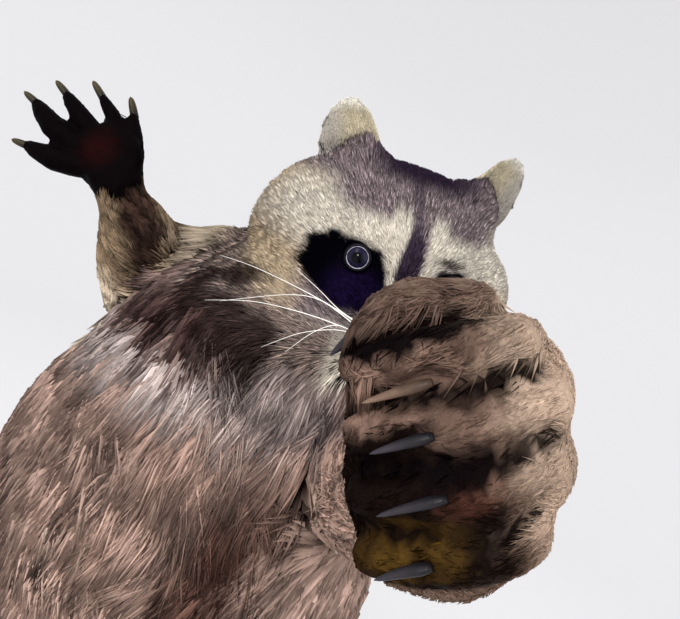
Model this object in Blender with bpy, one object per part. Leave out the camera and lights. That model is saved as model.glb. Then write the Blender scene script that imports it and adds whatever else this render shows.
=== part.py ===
"""A life-size raccoon that sits up on its haunches, its right hand raised and its left fist thrust forward.

Metres, +Z up. The raccoon looks along -Y, so its own left is at +X. The solids reach out to the coat's tips.
The soft outline is lofts and ellipsoids blended into one body, which thin cuts then part into named pieces.
"""

import math

import bmesh
import bpy
from mathutils import Matrix, Vector

GAP = 0.0004  # clear space between two pieces that meet
WELD = 0.00001  # points nearer than this count as one
NUDGE = 0.00001  # how far a cutter moves before a cut is tried again
FLESH_VOXEL = 0.0030
FOOT_VOXEL = 0.0018
FLESH_TRIANGLES = 1060
FOOT_TRIANGLES = 190
PALM_TRIANGLES = 235
PALM_VOXEL = 0.0015
PALM_SMOOTHING = 4
CLAW_BEND = math.radians(50)
EAR_TRIANGLES = 100
SITE_X = -0.049  # the middle of the hips

FUR = ("fur", (0.36, 0.30, 0.25), 0.85)
SKIN = ("bare_skin", (0.035, 0.025, 0.025), 0.55)
HORN = ("claw_horn", (0.10, 0.075, 0.055), 0.35)
EYE = ("eye", (0.012, 0.009, 0.008), 0.08)
NOSE = ("nose_leather", (0.02, 0.018, 0.018), 0.4)

# The eyes' midpoint, and how the head turns to the left, bows and leans.
HEAD_POINT = Vector((0.0222, -0.097, 0.3925))
HEAD_TURN, HEAD_BOW, HEAD_LEAN = math.radians(11), math.radians(20), math.radians(-7)
EYE_RADIUS = 0.0084
EYE_SPREAD = 0.0251

# Stations: x, y, z, half width, half depth.
TORSO = (
    (-0.049, 0.042, 0.050, 0.110, 0.102),
    (-0.046, 0.020, 0.110, 0.128, 0.113),
    (-0.038, -0.010, 0.175, 0.134, 0.115),
    (-0.035, -0.028, 0.235, 0.125, 0.104),
    (-0.026, -0.038, 0.285, 0.103, 0.092),
    (-0.010, -0.041, 0.325, 0.086, 0.079),
    (0.005, -0.044, 0.360, 0.072, 0.066),
    (0.012, -0.050, 0.385, 0.060, 0.058),
)
UPPER_ARM_RIGHT = (
    (-0.040, -0.010, 0.340, 0.050, 0.050),
    (-0.080, -0.012, 0.340, 0.047, 0.046),
    (-0.106, -0.018, 0.319, 0.044, 0.044),
)
FOREARM_RIGHT = (
    (-0.113, -0.022, 0.321, 0.040, 0.038),
    (-0.125, -0.047, 0.341, 0.032, 0.029),
    (-0.130, -0.071, 0.357, 0.0215, 0.0200),
    (-0.136, -0.087, 0.368, 0.0135, 0.0125),
)
UPPER_ARM_LEFT = (
    (0.030, -0.030, 0.286, 0.050, 0.050),
    (0.046, -0.085, 0.282, 0.042, 0.042),
    (0.056, -0.140, 0.290, 0.033, 0.033),
    (0.053, -0.174, 0.306, 0.0285, 0.0285),
)
FOREARM_LEFT = (
    (0.053, -0.176, 0.308, 0.0265, 0.0265),
    (0.048, -0.200, 0.320, 0.0245, 0.0240),
    (0.037, -0.232, 0.338, 0.0190, 0.0180),
    (0.0302, -0.2550, 0.3470, 0.0165, 0.0155),
)
TAIL = (
    (-0.050, 0.105, 0.050, 0.036, 0.036),
    (-0.056, 0.160, 0.043, 0.041, 0.040),
    (-0.086, 0.218, 0.042, 0.044, 0.043),
    (-0.140, 0.252, 0.041, 0.043, 0.042),
    (-0.192, 0.252, 0.036, 0.036, 0.036),
    (-0.226, 0.236, 0.026, 0.020, 0.022),
)
# The raised hand, in its own frame. Its palm's stations: x, y, z, half width, half depth.
OPEN_PALM = (
    (0.0004, -0.004, 0.000, 0.0122, 0.0115),
    (0.0026, 0.011, 0.000, 0.0160, 0.0100),
    (0.0030, 0.024, 0.000, 0.0188, 0.0085),
    (0.0050, 0.036, 0.000, 0.0192, 0.0072),
)
# From the thumb to the little finger: root x and y, angle from the hand's line, length, radius, sideways bow.
OPEN_FINGERS = (
    (0.0213, 0.0250, -22, 0.0158, 0.0046, 0.0),
    (0.0158, 0.0350, 0, 0.0225, 0.0047, -0.0006),
    (0.0036, 0.0380, 9, 0.0300, 0.0060, 0.0010),
    (-0.0062, 0.0360, 19, 0.0365, 0.0074, 0.0036),
    (-0.0095, 0.0260, 44, 0.0335, 0.0074, 0.0032),
)
OPEN_ROOT = 0.010  # how far a finger starts inside the palm
OPEN_RISE = ((0, 0), (0.30, 0.0004), (0.62, 0.0008), (0.86, 0.0006), (1.0, -0.0002))  # share of length, rise
OPEN_TAPER = (0.74, 0.98, 1.0, 0.76, 0.50)
OPEN_CLAW = 0.0095
# The fist, in its own frame. Its palm's stations: x, y, z, half width, half depth.
FIST_ACROSS = Vector((-0.630, 0.0, 0.777))
FIST_FORWARD = Vector((-0.10, -0.985, 0.14))
FIST_BREADTH = Vector((0.777, 0, 0.630))  # the way in which the palm is widest
FIST_PALM = (
    (0.0000, -0.0040, 0.0000, 0.0165, 0.0155),
    (-0.0004, 0.0080, 0.0002, 0.0215, 0.0178),
    (-0.0010, 0.0190, 0.0004, 0.0266, 0.0208),
    (-0.0013, 0.0285, 0.0004, 0.0284, 0.0218),
    (-0.0004, 0.0350, 0.0030, 0.0240, 0.0155),
)
# From the one by the thumb down: knuckle x and z, tip x and z, radius, then the claw's x, z and length.
FIST_FINGERS = (
    (0.0160, 0.0145, 0.0196, -0.0152, 0.0059, 0.0150, -0.0062, 0.0122),
    (0.0054, 0.0180, 0.0086, -0.0175, 0.0060, 0.0072, -0.0080, 0.0110),
    (-0.0056, 0.0150, -0.0010, -0.0198, 0.0058, -0.0024, -0.0085, 0.0122),
    (-0.0160, 0.0085, -0.0110, -0.0216, 0.0053, -0.0118, -0.0132, 0.0100),
)
# How each finger in the fist curls: y, share of the way from knuckle to tip.
FINGER_CURL = ((0.0300, 0.0), (0.0405, 0.14), (0.0450, 0.46), (0.0435, 0.77), (0.0405, 1.0))
FINGER_TAPER = (0.88, 0.96, 1.03, 0.98, 0.82)
FIST_THUMB = (
    (0.0205, 0.0200, 0.0040),
    (0.0262, 0.0265, 0.0030),
    (0.0274, 0.0325, -0.0020),
    (0.0270, 0.0360, -0.0075),
    (0.0250, 0.0375, -0.0130),
)
THUMB_RADII = (0.0054, 0.0054, 0.0052, 0.0047, 0.0037)
# One hind leg, with x counted outwards from the middle of the hips.
THIGH = (
    (0.068, 0.046, 0.084, 0.056, 0.072),
    (0.093, -0.012, 0.100, 0.057, 0.070),
    (0.112, -0.076, 0.121, 0.042, 0.046),
)
SHANK = (
    (0.114, -0.082, 0.112, 0.036, 0.038),
    (0.114, -0.070, 0.072, 0.032, 0.036),
    (0.110, -0.046, 0.036, 0.024, 0.028),
)
FOOT = (
    (0.0, 0.006, 0.0170, 0.0165, 0.0180),
    (0.0, -0.016, 0.0175, 0.0190, 0.0180),
    (0.0, -0.040, 0.0130, 0.0205, 0.0140),
    (0.0, -0.062, 0.0100, 0.0235, 0.0110),
    (0.0, -0.078, 0.0085, 0.0245, 0.0090),
)
# Toes from the inner one: place across, where it starts, length, radius.
TOES = (
    (-0.0200, -0.066, 0.0250, 0.0058),
    (-0.0105, -0.074, 0.0290, 0.0062),
    (0.0000, -0.076, 0.0310, 0.0064),
    (0.0105, -0.074, 0.0290, 0.0062),
    (0.0200, -0.066, 0.0245, 0.0058),
)
TOE_FAN = 1000  # degrees outwards for each metre across
TOE_ROOT = 0.008  # how far a toe starts inside the foot
TOE_RISE = ((0, 0.002), (0.5, 0.002), (0.8, -0.001), (1, -0.0025))  # share of length, rise
TOE_TAPER = (1.0, 1.0, 1.05, 0.85)


def clear_scene():
    for thing in list(bpy.data.objects):
        bpy.data.objects.remove(thing)


def finish_of(name, colour, roughness):
    """One plain material, made once and shared."""
    made = bpy.data.materials.get(name)
    if made is None:
        made = bpy.data.materials.new(name)
        made.use_nodes = True
        shader = made.node_tree.nodes["Principled BSDF"]
        shader.inputs["Base Color"].default_value = (*colour, 1)
        shader.inputs["Roughness"].default_value = roughness
        shader.inputs["Metallic"].default_value = 0.0
    return made


def object_of(name, mesh):
    made = bpy.data.objects.new(name, mesh)
    bpy.context.scene.collection.objects.link(made)
    return made


def remove(*things):
    for thing in things:
        bpy.data.objects.remove(thing)


def mesh_from(name, points, faces):
    mesh = bpy.data.meshes.new(name)
    mesh.from_pydata([tuple(p) for p in points], [], faces)
    mesh.validate()
    return object_of(name, mesh)


def applied(thing):
    """Replaces the object's mesh by what its modifiers make of it."""
    bpy.context.view_layer.update()
    graph = bpy.context.evaluated_depsgraph_get()
    mesh = bpy.data.meshes.new_from_object(thing.evaluated_get(graph))
    thing.modifiers.clear()
    thing.data = mesh
    return thing


def smooth_stations(stations, steps):
    """The stations joined by a Catmull-Rom curve, with this many steps from each to the next."""
    first = tuple(2 * a - b for a, b in zip(stations[0], stations[1]))
    last = tuple(2 * a - b for a, b in zip(stations[-1], stations[-2]))
    held = [first, *stations, last]
    found = []
    for i in range(1, len(held) - 2):
        p0, p1, p2, p3 = held[i - 1 : i + 3]
        for step in range(steps):
            t = step / steps
            found.append(
                tuple(
                    b
                    + 0.5 * (c - a) * t
                    + 0.5 * (2 * a - 5 * b + 4 * c - d) * t**2
                    + 0.5 * (3 * b - a - 3 * c + d) * t**3
                    for a, b, c, d in zip(p0, p1, p2, p3)
                )
            )
    return [*found, tuple(stations[-1])]


def loft(name, stations, side=(1, 0, 0), steps=4, segments=24, round_start=0.8, round_end=0.8, caps=(30, 60)):
    """A closed round-ended solid through the stations. Width is measured along side, depth across it."""
    rows = smooth_stations(stations, steps) if steps > 1 else list(stations)
    centres = [Vector(row[:3]) for row in rows]
    sizes = [row[3:5] for row in rows]
    count = len(rows)
    rings = []
    for i, (centre, size) in enumerate(zip(centres, sizes)):
        tangent = (centres[min(i + 1, count - 1)] - centres[max(i - 1, 0)]).normalized()
        across = (Vector(side) - tangent * tangent.dot(Vector(side))).normalized()
        rings.append((centre, tangent, across, tangent.cross(across), size))

    def bulged(ring, sign, roundness):
        centre, tangent, across, deep, (wide, thick) = ring
        reach = tangent * sign * min(wide, thick) * roundness
        cap = []
        for angle in map(math.radians, caps):
            size = (wide * math.cos(angle), thick * math.cos(angle))
            cap.append((centre + reach * math.sin(angle), tangent, across, deep, size))
        return cap, centre + reach

    head_rings, head_pole = bulged(rings[0], -1, round_start) if round_start else ([], rings[0][0])
    tail_rings, tail_pole = bulged(rings[-1], 1, round_end) if round_end else ([], rings[-1][0])
    rings = [*reversed(head_rings), *rings, *tail_rings]
    points = []
    for centre, _, across, deep, (wide, thick) in rings:
        for k in range(segments):
            a = 2 * math.pi * k / segments
            points.append(centre + across * wide * math.cos(a) + deep * thick * math.sin(a))
    faces = []
    for i in range(len(rings) - 1):
        for k in range(segments):
            j = (k + 1) % segments
            faces.append((i * segments + k, i * segments + j, (i + 1) * segments + j, (i + 1) * segments + k))
    start, end = len(points), len(points) + 1
    points += [head_pole, tail_pole]
    last = (len(rings) - 1) * segments
    for k in range(segments):
        j = (k + 1) % segments
        faces.append((start, j, k))
        faces.append((end, last + k, last + j))
    return mesh_from(name, points, faces)


def ellipsoid(name, centre, radii, turn=None, segments=24):
    """A ball stretched along the axes, then turned and moved."""
    mesh = bpy.data.meshes.new(name)
    ball = bmesh.new()
    bmesh.ops.create_uvsphere(ball, u_segments=segments, v_segments=max(6, segments // 2), radius=1.0)
    place = Matrix.Translation(Vector(centre)) @ Matrix.Diagonal((*radii, 1.0))
    ball.transform((turn or Matrix.Identity(4)) @ place)
    ball.to_mesh(mesh)
    ball.free()
    return object_of(name, mesh)


def joined(name, shapes):
    """All the shapes in one mesh. The shapes are used up."""
    whole = bmesh.new()
    for shape in shapes:
        shape.data.transform(shape.matrix_world)
        whole.from_mesh(shape.data)
    mesh = bpy.data.meshes.new(name)
    whole.to_mesh(mesh)
    whole.free()
    remove(*shapes)
    return object_of(name, mesh)


def thinned(thing, triangles, coarse_below=None):
    """Brings the mesh down to about this many triangles, fewer of them below the given height."""
    thing.data.calc_loop_triangles()
    thinner = thing.modifiers.new("thin", "DECIMATE")
    thinner.ratio = min(1.0, triangles / len(thing.data.loop_triangles))
    if coarse_below:
        coarse = thing.vertex_groups.new(name="coarse")
        for vertex in thing.data.vertices:
            coarse.add([vertex.index], 0.7 if vertex.co.z < coarse_below else 0.16, "REPLACE")
        thinner.vertex_group = coarse.name
        thinner.vertex_group_factor = 1.0
    applied(thing)
    thing.vertex_groups.clear()
    return thing


def blended(name, shapes, voxel, smoothing, triangles, coarse_below=None):
    """One skin round all the shapes, with soft creases where they meet."""
    whole = joined(name, shapes)
    remesh = whole.modifiers.new("blend", "REMESH")
    remesh.mode = "VOXEL"
    remesh.voxel_size = voxel
    soften = whole.modifiers.new("soften", "SMOOTH")
    soften.factor = 0.5
    soften.iterations = smoothing
    return thinned(applied(whole), triangles, coarse_below)


def open_edges(thing):
    mesh = bmesh.new()
    mesh.from_mesh(thing.data)
    count = sum(1 for edge in mesh.edges if len(edge.link_faces) != 2)
    mesh.free()
    return count


def tidied(thing):
    """Joins points that a cut left all but touching, and drops what that flattens."""
    mesh = bmesh.new()
    mesh.from_mesh(thing.data)
    bmesh.ops.triangulate(mesh, faces=mesh.faces)
    bmesh.ops.remove_doubles(mesh, verts=mesh.verts, dist=WELD)
    bmesh.ops.dissolve_degenerate(mesh, edges=mesh.edges, dist=WELD / 10)
    mesh.to_mesh(thing.data)
    mesh.free()
    return thing


def combine(thing, other, operation="DIFFERENCE"):
    """A boolean. Where it leaves the piece open, the other shape is nudged a hair and it is tried again."""
    before = thing.data.copy()
    for attempt in range(8):
        thing.data = before.copy()
        if attempt:
            other.data.transform(Matrix.Translation((NUDGE, -NUDGE * attempt, NUDGE)))
        boolean = thing.modifiers.new("combine", "BOOLEAN")
        boolean.operation = operation
        boolean.object = other
        boolean.use_self = attempt % 2 == 1
        tidied(applied(thing))
        if thing.data.polygons and not open_edges(thing):
            return thing
    raise ValueError(f"the cut leaves {thing.name} open")


def swollen(thing, by, name="swollen"):
    """A copy of the object, grown outwards by this much."""
    copy = object_of(name, thing.data.copy())
    grow = copy.modifiers.new("grow", "DISPLACE")
    grow.strength = by
    grow.mid_level = 0.0
    return applied(copy)


def apart(one, other, margin):
    """Whether two pieces' boxes are clear of each other."""
    a = [v.co for v in one.data.vertices]
    b = [v.co for v in other.data.vertices]
    for axis in range(3):
        first, second = [p[axis] for p in a], [q[axis] for q in b]
        if min(first) > max(second) + margin or min(second) > max(first) + margin:
            return True
    return False


def fit_into(soft, hard, by=GAP):
    """Gives soft a socket that hard sits in, with a gap all round."""
    if apart(soft, hard, by):
        return soft
    room = swollen(hard, by)
    combine(soft, room)
    remove(room)
    return keep_largest(soft)


def loose_parts(thing):
    """The object's separate shells, each as its own object."""
    source = bmesh.new()
    source.from_mesh(thing.data)
    source.verts.ensure_lookup_table()
    left = set(source.verts)
    parts = []
    while left:
        shell, waiting = set(), [left.pop()]
        while waiting:
            vertex = waiting.pop()
            shell.add(vertex)
            for edge in vertex.link_edges:
                other = edge.other_vert(vertex)
                if other in left:
                    left.discard(other)
                    waiting.append(other)
        order = sorted(shell, key=lambda v: v.index)
        index = {v: i for i, v in enumerate(order)}
        faces = [[index[v] for v in f.verts] for f in source.faces if f.verts[0] in shell]
        parts.append(mesh_from("shell", [v.co.copy() for v in order], faces))
    source.free()
    return parts


def volume_of(thing):
    mesh = bmesh.new()
    mesh.from_mesh(thing.data)
    volume = mesh.calc_volume(signed=True)
    mesh.free()
    return volume


def keep_largest(thing):
    """Drops crumbs that a cut left, and any shell inside the piece."""
    parts = sorted(loose_parts(thing), key=volume_of, reverse=True)
    thing.data = parts[0].data
    remove(*parts)
    return thing


def slab(centre, normal, radius, thickness=GAP):
    """A thin round blade."""
    mesh = bpy.data.meshes.new("blade")
    blade = bmesh.new()
    bmesh.ops.create_cone(
        blade, cap_ends=True, segments=40, radius1=radius, radius2=radius, depth=thickness
    )
    turn = Vector((0, 0, 1)).rotation_difference(Vector(normal)).to_matrix().to_4x4()
    blade.transform(Matrix.Translation(Vector(centre)) @ turn)
    blade.to_mesh(mesh)
    blade.free()
    return object_of("blade", mesh)


def distance_to(thing, point):
    return min((v.co - Vector(point)).length for v in thing.data.vertices)


def sever(thing, name, centre, normal, radius, beyond):
    """Parts the object with a thin blade. What lies nearest to the point beyond becomes a new piece."""
    blade = slab(centre, normal, radius)
    combine(thing, blade)
    remove(blade)
    parts = [p for p in loose_parts(thing) if volume_of(p) > 1e-8]
    piece = min(parts, key=lambda p: distance_to(p, beyond))
    rest = max((p for p in parts if p is not piece), key=volume_of)
    piece.name = name
    thing.data = rest.data
    remove(*(p for p in parts if p is not piece))
    return piece


def sever_joint(thing, name, upper, joint, lower, radius):
    """Parts a bent limb across its joint, on the plane that halves the bend."""
    upper, joint, lower = Vector(upper[:3]), Vector(joint[:3]), Vector(lower[:3])
    normal = ((lower - joint).normalized() - (upper - joint).normalized()).normalized()
    return sever(thing, name, joint, normal, radius, lower)


def trimmed_beyond(thing, centre, normal, radius, length=0.08):
    """Cuts off all that lies beyond a plane, within a radius, and leaves a flat face there."""
    centre, normal = Vector(centre), Vector(normal).normalized()
    block = slab(centre + normal * length / 2, normal, radius, length)
    combine(thing, block)
    remove(block)
    return keep_largest(thing)


def flattened_below(thing, level=0.0):
    """Gives the object a flat where it would reach below the floor."""
    if min(v.co.z for v in thing.data.vertices) < level:
        middle = sum((v.co for v in thing.data.vertices), Vector()) / len(thing.data.vertices)
        trimmed_beyond(thing, (middle.x, middle.y, level), (0, 0, -1), 0.3)
    return thing


def finished(thing, finish, name=None):
    if name:
        thing.name = name
    thing.data.materials.clear()
    thing.data.materials.append(finish_of(*finish))
    thing.data.shade_smooth()
    thing.data.set_sharp_from_angle(angle=math.radians(50))
    return thing


def head_place():
    """From the head's own frame, with its origin between the eyes and the nose along -Y, to the world."""
    return (
        Matrix.Translation(HEAD_POINT)
        @ Matrix.Rotation(HEAD_TURN, 4, "Z")
        @ Matrix.Rotation(HEAD_BOW, 4, "X")
        @ Matrix.Rotation(HEAD_LEAN, 4, "Y")
    )


def head_shapes(place):
    """The skull, cheeks, muzzle, brows and jaw, in the head's own frame."""
    shapes = [
        ellipsoid("braincase", (0, 0.048, 0.002), (0.063, 0.056, 0.049), place),
        ellipsoid("forehead", (0, 0.022, 0.008), (0.044, 0.036, 0.030), place),
        ellipsoid("throat", (0, 0.040, -0.030), (0.046, 0.046, 0.030), place),
        ellipsoid("jaw", (0, -0.012, -0.0385), (0.0175, 0.040, 0.0115), place),
    ]
    for side in (-1, 1):
        shapes += [
            ellipsoid("cheek", (side * 0.039, 0.038, -0.012), (0.039, 0.038, 0.036), place),
            ellipsoid("cheek_front", (side * 0.025, 0.013, -0.022), (0.025, 0.026, 0.022), place),
            ellipsoid("brow", (side * 0.022, 0.012, 0.010), (0.019, 0.020, 0.014), place),
            ellipsoid("lip", (side * 0.0090, -0.040, -0.0300), (0.0115, 0.0170, 0.0110), place),
            ellipsoid("ear_base", (side * 0.0320, 0.043, 0.0325), (0.0230, 0.0175, 0.0228), place),
        ]
    muzzle = loft(
        "muzzle",
        (
            (0, 0.020, -0.012, 0.034, 0.028),
            (0, -0.002, -0.016, 0.0255, 0.0195),
            (0, -0.022, -0.0205, 0.0180, 0.0150),
            (0, -0.042, -0.0240, 0.0135, 0.0115),
            (0, -0.053, -0.0250, 0.0100, 0.0085),
        ),
    )
    muzzle.data.transform(place)
    return [*shapes, muzzle]


def ear(name, side, place, head):
    """A rounded ear, hollow at the front, that stands up and out from the side of the head."""
    height, half_width, thickness, hollow = 0.0455, 0.0190, 0.0055, 0.0080
    flare, flare_top = 0.40, 0.70
    rows = []
    for step in range(9):
        t = step / 8
        narrowing = max(0.0, (t - 0.35) / 0.65) ** 2.3
        half = half_width * math.sqrt(max(0.0, 1 - narrowing)) * (0.86 + 0.14 * min(1, t / 0.35))
        rows.append((t * height, max(half, 0.0035)))
    count = 10
    front, back = [], []
    for level, half in rows:
        for k in range(count + 1):
            across = -1 + 2 * k / count
            dish = hollow * (1 - across**2) * (half / half_width)
            edge = math.sqrt(max(0.0, 1 - 0.85 * across**2))
            wider = 1 + flare * max(0.0, 1 - level / height / flare_top) if side * across < 0 else 1
            front.append(Vector((half * across * wider, dish - 0.5 * thickness * edge, level)))
            back.append(Vector((half * across * wider, dish + 0.5 * thickness * edge, level)))
    wide = count + 1
    points, faces = [*front, *back], []
    offset = len(front)
    for i in range(len(rows) - 1):
        for k in range(count):
            a, b, c, d = i * wide + k, i * wide + k + 1, (i + 1) * wide + k + 1, (i + 1) * wide + k
            faces.append((a, b, c, d))
            faces.append((offset + d, offset + c, offset + b, offset + a))
        low, high = i * wide, (i + 1) * wide
        faces.append((low, high, offset + high, offset + low))
        low, high = low + count, high + count
        faces.append((high, low, offset + low, offset + high))
    top = (len(rows) - 1) * wide
    for k in range(count):
        faces.append((k + 1, k, offset + k, offset + k + 1))
        faces.append((top + k, top + k + 1, offset + top + k + 1, offset + top + k))
    made = mesh_from(name, points, faces)
    lean = (
        Matrix.Translation((side * 0.0425, 0.044, 0.0285))
        @ Matrix.Rotation(side * math.radians(17), 4, "Y")
        @ Matrix.Rotation(side * math.radians(26), 4, "Z")
        @ Matrix.Rotation(math.radians(-8), 4, "X")
    )
    made.data.transform(place @ lean)
    soften = made.modifiers.new("soften", "SUBSURF")
    soften.levels = soften.render_levels = 1
    thinned(applied(made), EAR_TRIANGLES)
    clearance = swollen(head, GAP)
    combine(made, clearance)
    remove(clearance)
    return keep_largest(made)


def claw(name, root, along, curl, length, radius, point=0.32):
    """A tapered claw that curves towards curl. Its root is where it leaves the toe."""
    root, along, curl = Vector(root), Vector(along).normalized(), Vector(curl).normalized()
    rows = []
    for t, size in ((-0.25, 0.95), (0.40, 0.80), (0.92, point)):
        arc = CLAW_BEND * max(t, 0.0)
        ahead = math.sin(arc) / CLAW_BEND if t > 0 else t
        place = root + (along * ahead + curl * (1 - math.cos(arc)) / CLAW_BEND) * length
        rows.append((*place, radius * size * 0.85, radius * size * 1.15))
    return loft(name, rows, side=along.cross(curl), steps=1, segments=5, round_start=0, round_end=0)


def finger(name, path, radii, side, steps=1, segments=7, flat=0.9):
    rows = [(*p, r, r * flat) for p, r in zip(path, radii)]
    return loft(name, rows, side, steps, segments, round_start=0.6, round_end=0.9, caps=(45,))


def frame_of(origin, x, y):
    """A matrix from a hand's own frame to the world. The third axis completes the first two."""
    x, y = Vector(x).normalized(), Vector(y)
    y = (y - x * x.dot(y)).normalized()
    z = x.cross(y)
    rotation = Matrix((x, y, z)).transposed().to_4x4()
    return Matrix.Translation(Vector(origin)) @ rotation


def open_hand(pieces):
    """The raised right hand. Its own frame: x to the thumb's side, y along the fingers, z out of the palm."""
    wrist = Vector(FOREARM_RIGHT[-1][:3])
    place = frame_of(wrist, (0.616, 0.06, 0.788), (-0.788, 0.10, 0.616))
    turn = place.to_3x3()
    palm = blended(
        "hand_right",
        [
            loft("palm", OPEN_PALM, round_start=0),
            ellipsoid("thumb_pad", (0.0160, 0.020, 0.003), (0.0085, 0.013, 0.0065)),
            ellipsoid("heel_pad", (-0.004, 0.014, 0.004), (0.008, 0.010, 0.006)),
            ellipsoid("finger_pad", (-0.002, 0.030, 0.004), (0.007, 0.007, 0.005)),
            ellipsoid("finger_pad", (0.010, 0.034, 0.004), (0.008, 0.007, 0.005)),
        ],
        PALM_VOXEL,
        PALM_SMOOTHING,
        PALM_TRIANGLES,
    )
    palm.data.transform(place)
    trimmed_beyond(palm, place @ Vector((0, 0, 0)), turn @ Vector((0, -1, 0)), 0.05)
    curl = Vector((0, 0, 1))
    for number, (x, y, angle, length, radius, bow) in enumerate(OPEN_FINGERS, 1):
        lean = math.radians(angle)
        way = Vector((-math.sin(lean), math.cos(lean), 0))
        aside = Vector((-way.y, way.x, 0))
        root = Vector((x, y, 0)) - way * OPEN_ROOT
        path = []
        for t, rise in OPEN_RISE:
            sway = aside * bow * math.sin(math.pi * t)
            path.append(place @ (root + way * t * (length + OPEN_ROOT) + sway + curl * rise))
        made = finger(f"finger_right_{number}", path, [radius * k for k in OPEN_TAPER], turn @ -aside)
        nail_root = path[-1] - turn @ curl * radius * 0.15
        nail_way = turn @ (way + curl * 0.10)
        nail = claw(f"claw_right_{number}", nail_root, nail_way, turn @ curl, OPEN_CLAW, 0.0024, point=0.60)
        fit_into(made, palm)
        if number > 1:
            fit_into(made, pieces[f"finger_right_{number - 1}"])
        fit_into(made, nail)
        pieces[made.name] = finished(made, SKIN)
        pieces[nail.name] = finished(nail, HORN)
    pieces["hand_right"] = finished(palm, SKIN)
    return place


def fist(pieces):
    """The left fist. Its own frame: x from the little finger to the thumb, y forwards, z out of the back."""
    wrist = Vector(FOREARM_LEFT[-1][:3])
    place = frame_of(wrist, FIST_ACROSS, FIST_FORWARD)
    turn = place.to_3x3()
    if (turn @ Vector((0, 0, 1))).x < 0:
        raise ValueError("the fist's back has to face outwards")
    palm = blended(
        "hand_left",
        [
            loft("palm", FIST_PALM, side=FIST_BREADTH, round_start=0),
            ellipsoid("knuckle", (0.0085, 0.0250, 0.0160), (0.0080, 0.0090, 0.0080)),
            ellipsoid("heel", (-0.0020, 0.0150, -0.0080), (0.0235, 0.0150, 0.0140)),
            ellipsoid("edge", (-0.0165, 0.0265, -0.0115), (0.0105, 0.0100, 0.0125)),
        ],
        PALM_VOXEL,
        PALM_SMOOTHING,
        PALM_TRIANGLES,
    )
    palm.data.transform(place)
    trimmed_beyond(palm, place @ Vector((0, 0, 0)), turn @ Vector((0, -1, 0)), 0.05)
    across, inward = turn @ Vector((1, 0, 0)), turn @ Vector((0, -1, 0))
    before = None
    for number, (x, knuckle, tip_x, tip, radius, nail_x, nail_z, nail_length) in enumerate(FIST_FINGERS, 2):
        path = [
            place @ Vector((x + (tip_x - x) * share, y, knuckle + (tip - knuckle) * share))
            for y, share in FINGER_CURL
        ]
        made = finger(f"finger_left_{number}", path, [radius * k for k in FINGER_TAPER], across, flat=1.0)
        nail_way = turn @ Vector((-0.06, 0.10, -1.0))
        nail_root = place @ Vector((nail_x, FINGER_CURL[3][0] + radius * 0.74, nail_z))
        nail = claw(f"claw_left_{number}", nail_root, nail_way, inward, nail_length, 0.0022)
        fit_into(palm, nail)
        fit_into(made, palm)
        fit_into(made, nail)
        if before:
            fit_into(made, before)
            fit_into(made, pieces[f"claw_left_{number - 1}"])
        pieces[made.name] = finished(made, SKIN)
        pieces[nail.name] = finished(nail, HORN)
        before = made
    thumb_path = [place @ Vector(p) for p in FIST_THUMB]
    thumb = finger("finger_left_1", thumb_path, THUMB_RADII, across, flat=0.95)
    nail_root = place @ Vector((0.0243, 0.0382, -0.0146))
    nail = claw("claw_left_1", nail_root, turn @ Vector((-0.35, 0.10, -0.75)), inward, 0.0062, 0.0020)
    fit_into(thumb, palm)
    fit_into(thumb, pieces["finger_left_2"])
    fit_into(thumb, nail)
    fit_into(pieces["finger_left_2"], nail)
    pieces["finger_left_1"] = finished(thumb, SKIN)
    pieces["claw_left_1"] = finished(nail, HORN)
    pieces["hand_left"] = finished(palm, SKIN)
    return place


def foot(side, pieces):
    """A hind foot flat on the floor, from the heel to five toes. x is counted outwards."""
    name = "left" if side > 0 else "right"
    place = (
        Matrix.Translation((SITE_X + side * 0.109, -0.032, 0.0))
        @ Matrix.Rotation(side * math.radians(10), 4, "Z")
    )
    shapes = [loft(f"foot_{name}", FOOT)]
    nails = []
    for number, (x, y, length, radius) in enumerate(TOES, 1):
        fan = math.radians(x * TOE_FAN)
        way = Vector((math.sin(fan), -math.cos(fan), 0))
        root = Vector((x, y + TOE_ROOT, 0.0085))
        path = [root + way * t * (length + TOE_ROOT) + Vector((0, 0, rise)) for t, rise in TOE_RISE]
        shapes.append(finger("toe", path, [radius * k for k in TOE_TAPER], (1, 0, 0), flat=0.95))
        nail_root = path[-1] + way * 0.0035 + Vector((0, 0, 0.0015))
        nail_way = way + Vector((0, 0, 0.18))
        nail = claw(f"claw_foot_{name}_{number}", nail_root, nail_way, (0, 0, -1), 0.0105, 0.0020)
        nail.data.transform(place)
        nails.append(nail)
    made = blended(f"foot_{name}", shapes, FOOT_VOXEL, 3, FOOT_TRIANGLES)
    made.data.transform(place)
    flattened_below(made)
    for nail in nails:
        fit_into(made, nail)
        pieces[nail.name] = finished(nail, HORN)
    pieces[made.name] = made
    return made


def limb(name, stations, triangles, side=(1, 0, 0)):
    """A round-ended length of a limb."""
    return thinned(loft(name, stations, side=side, steps=3, segments=20), triangles)


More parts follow.
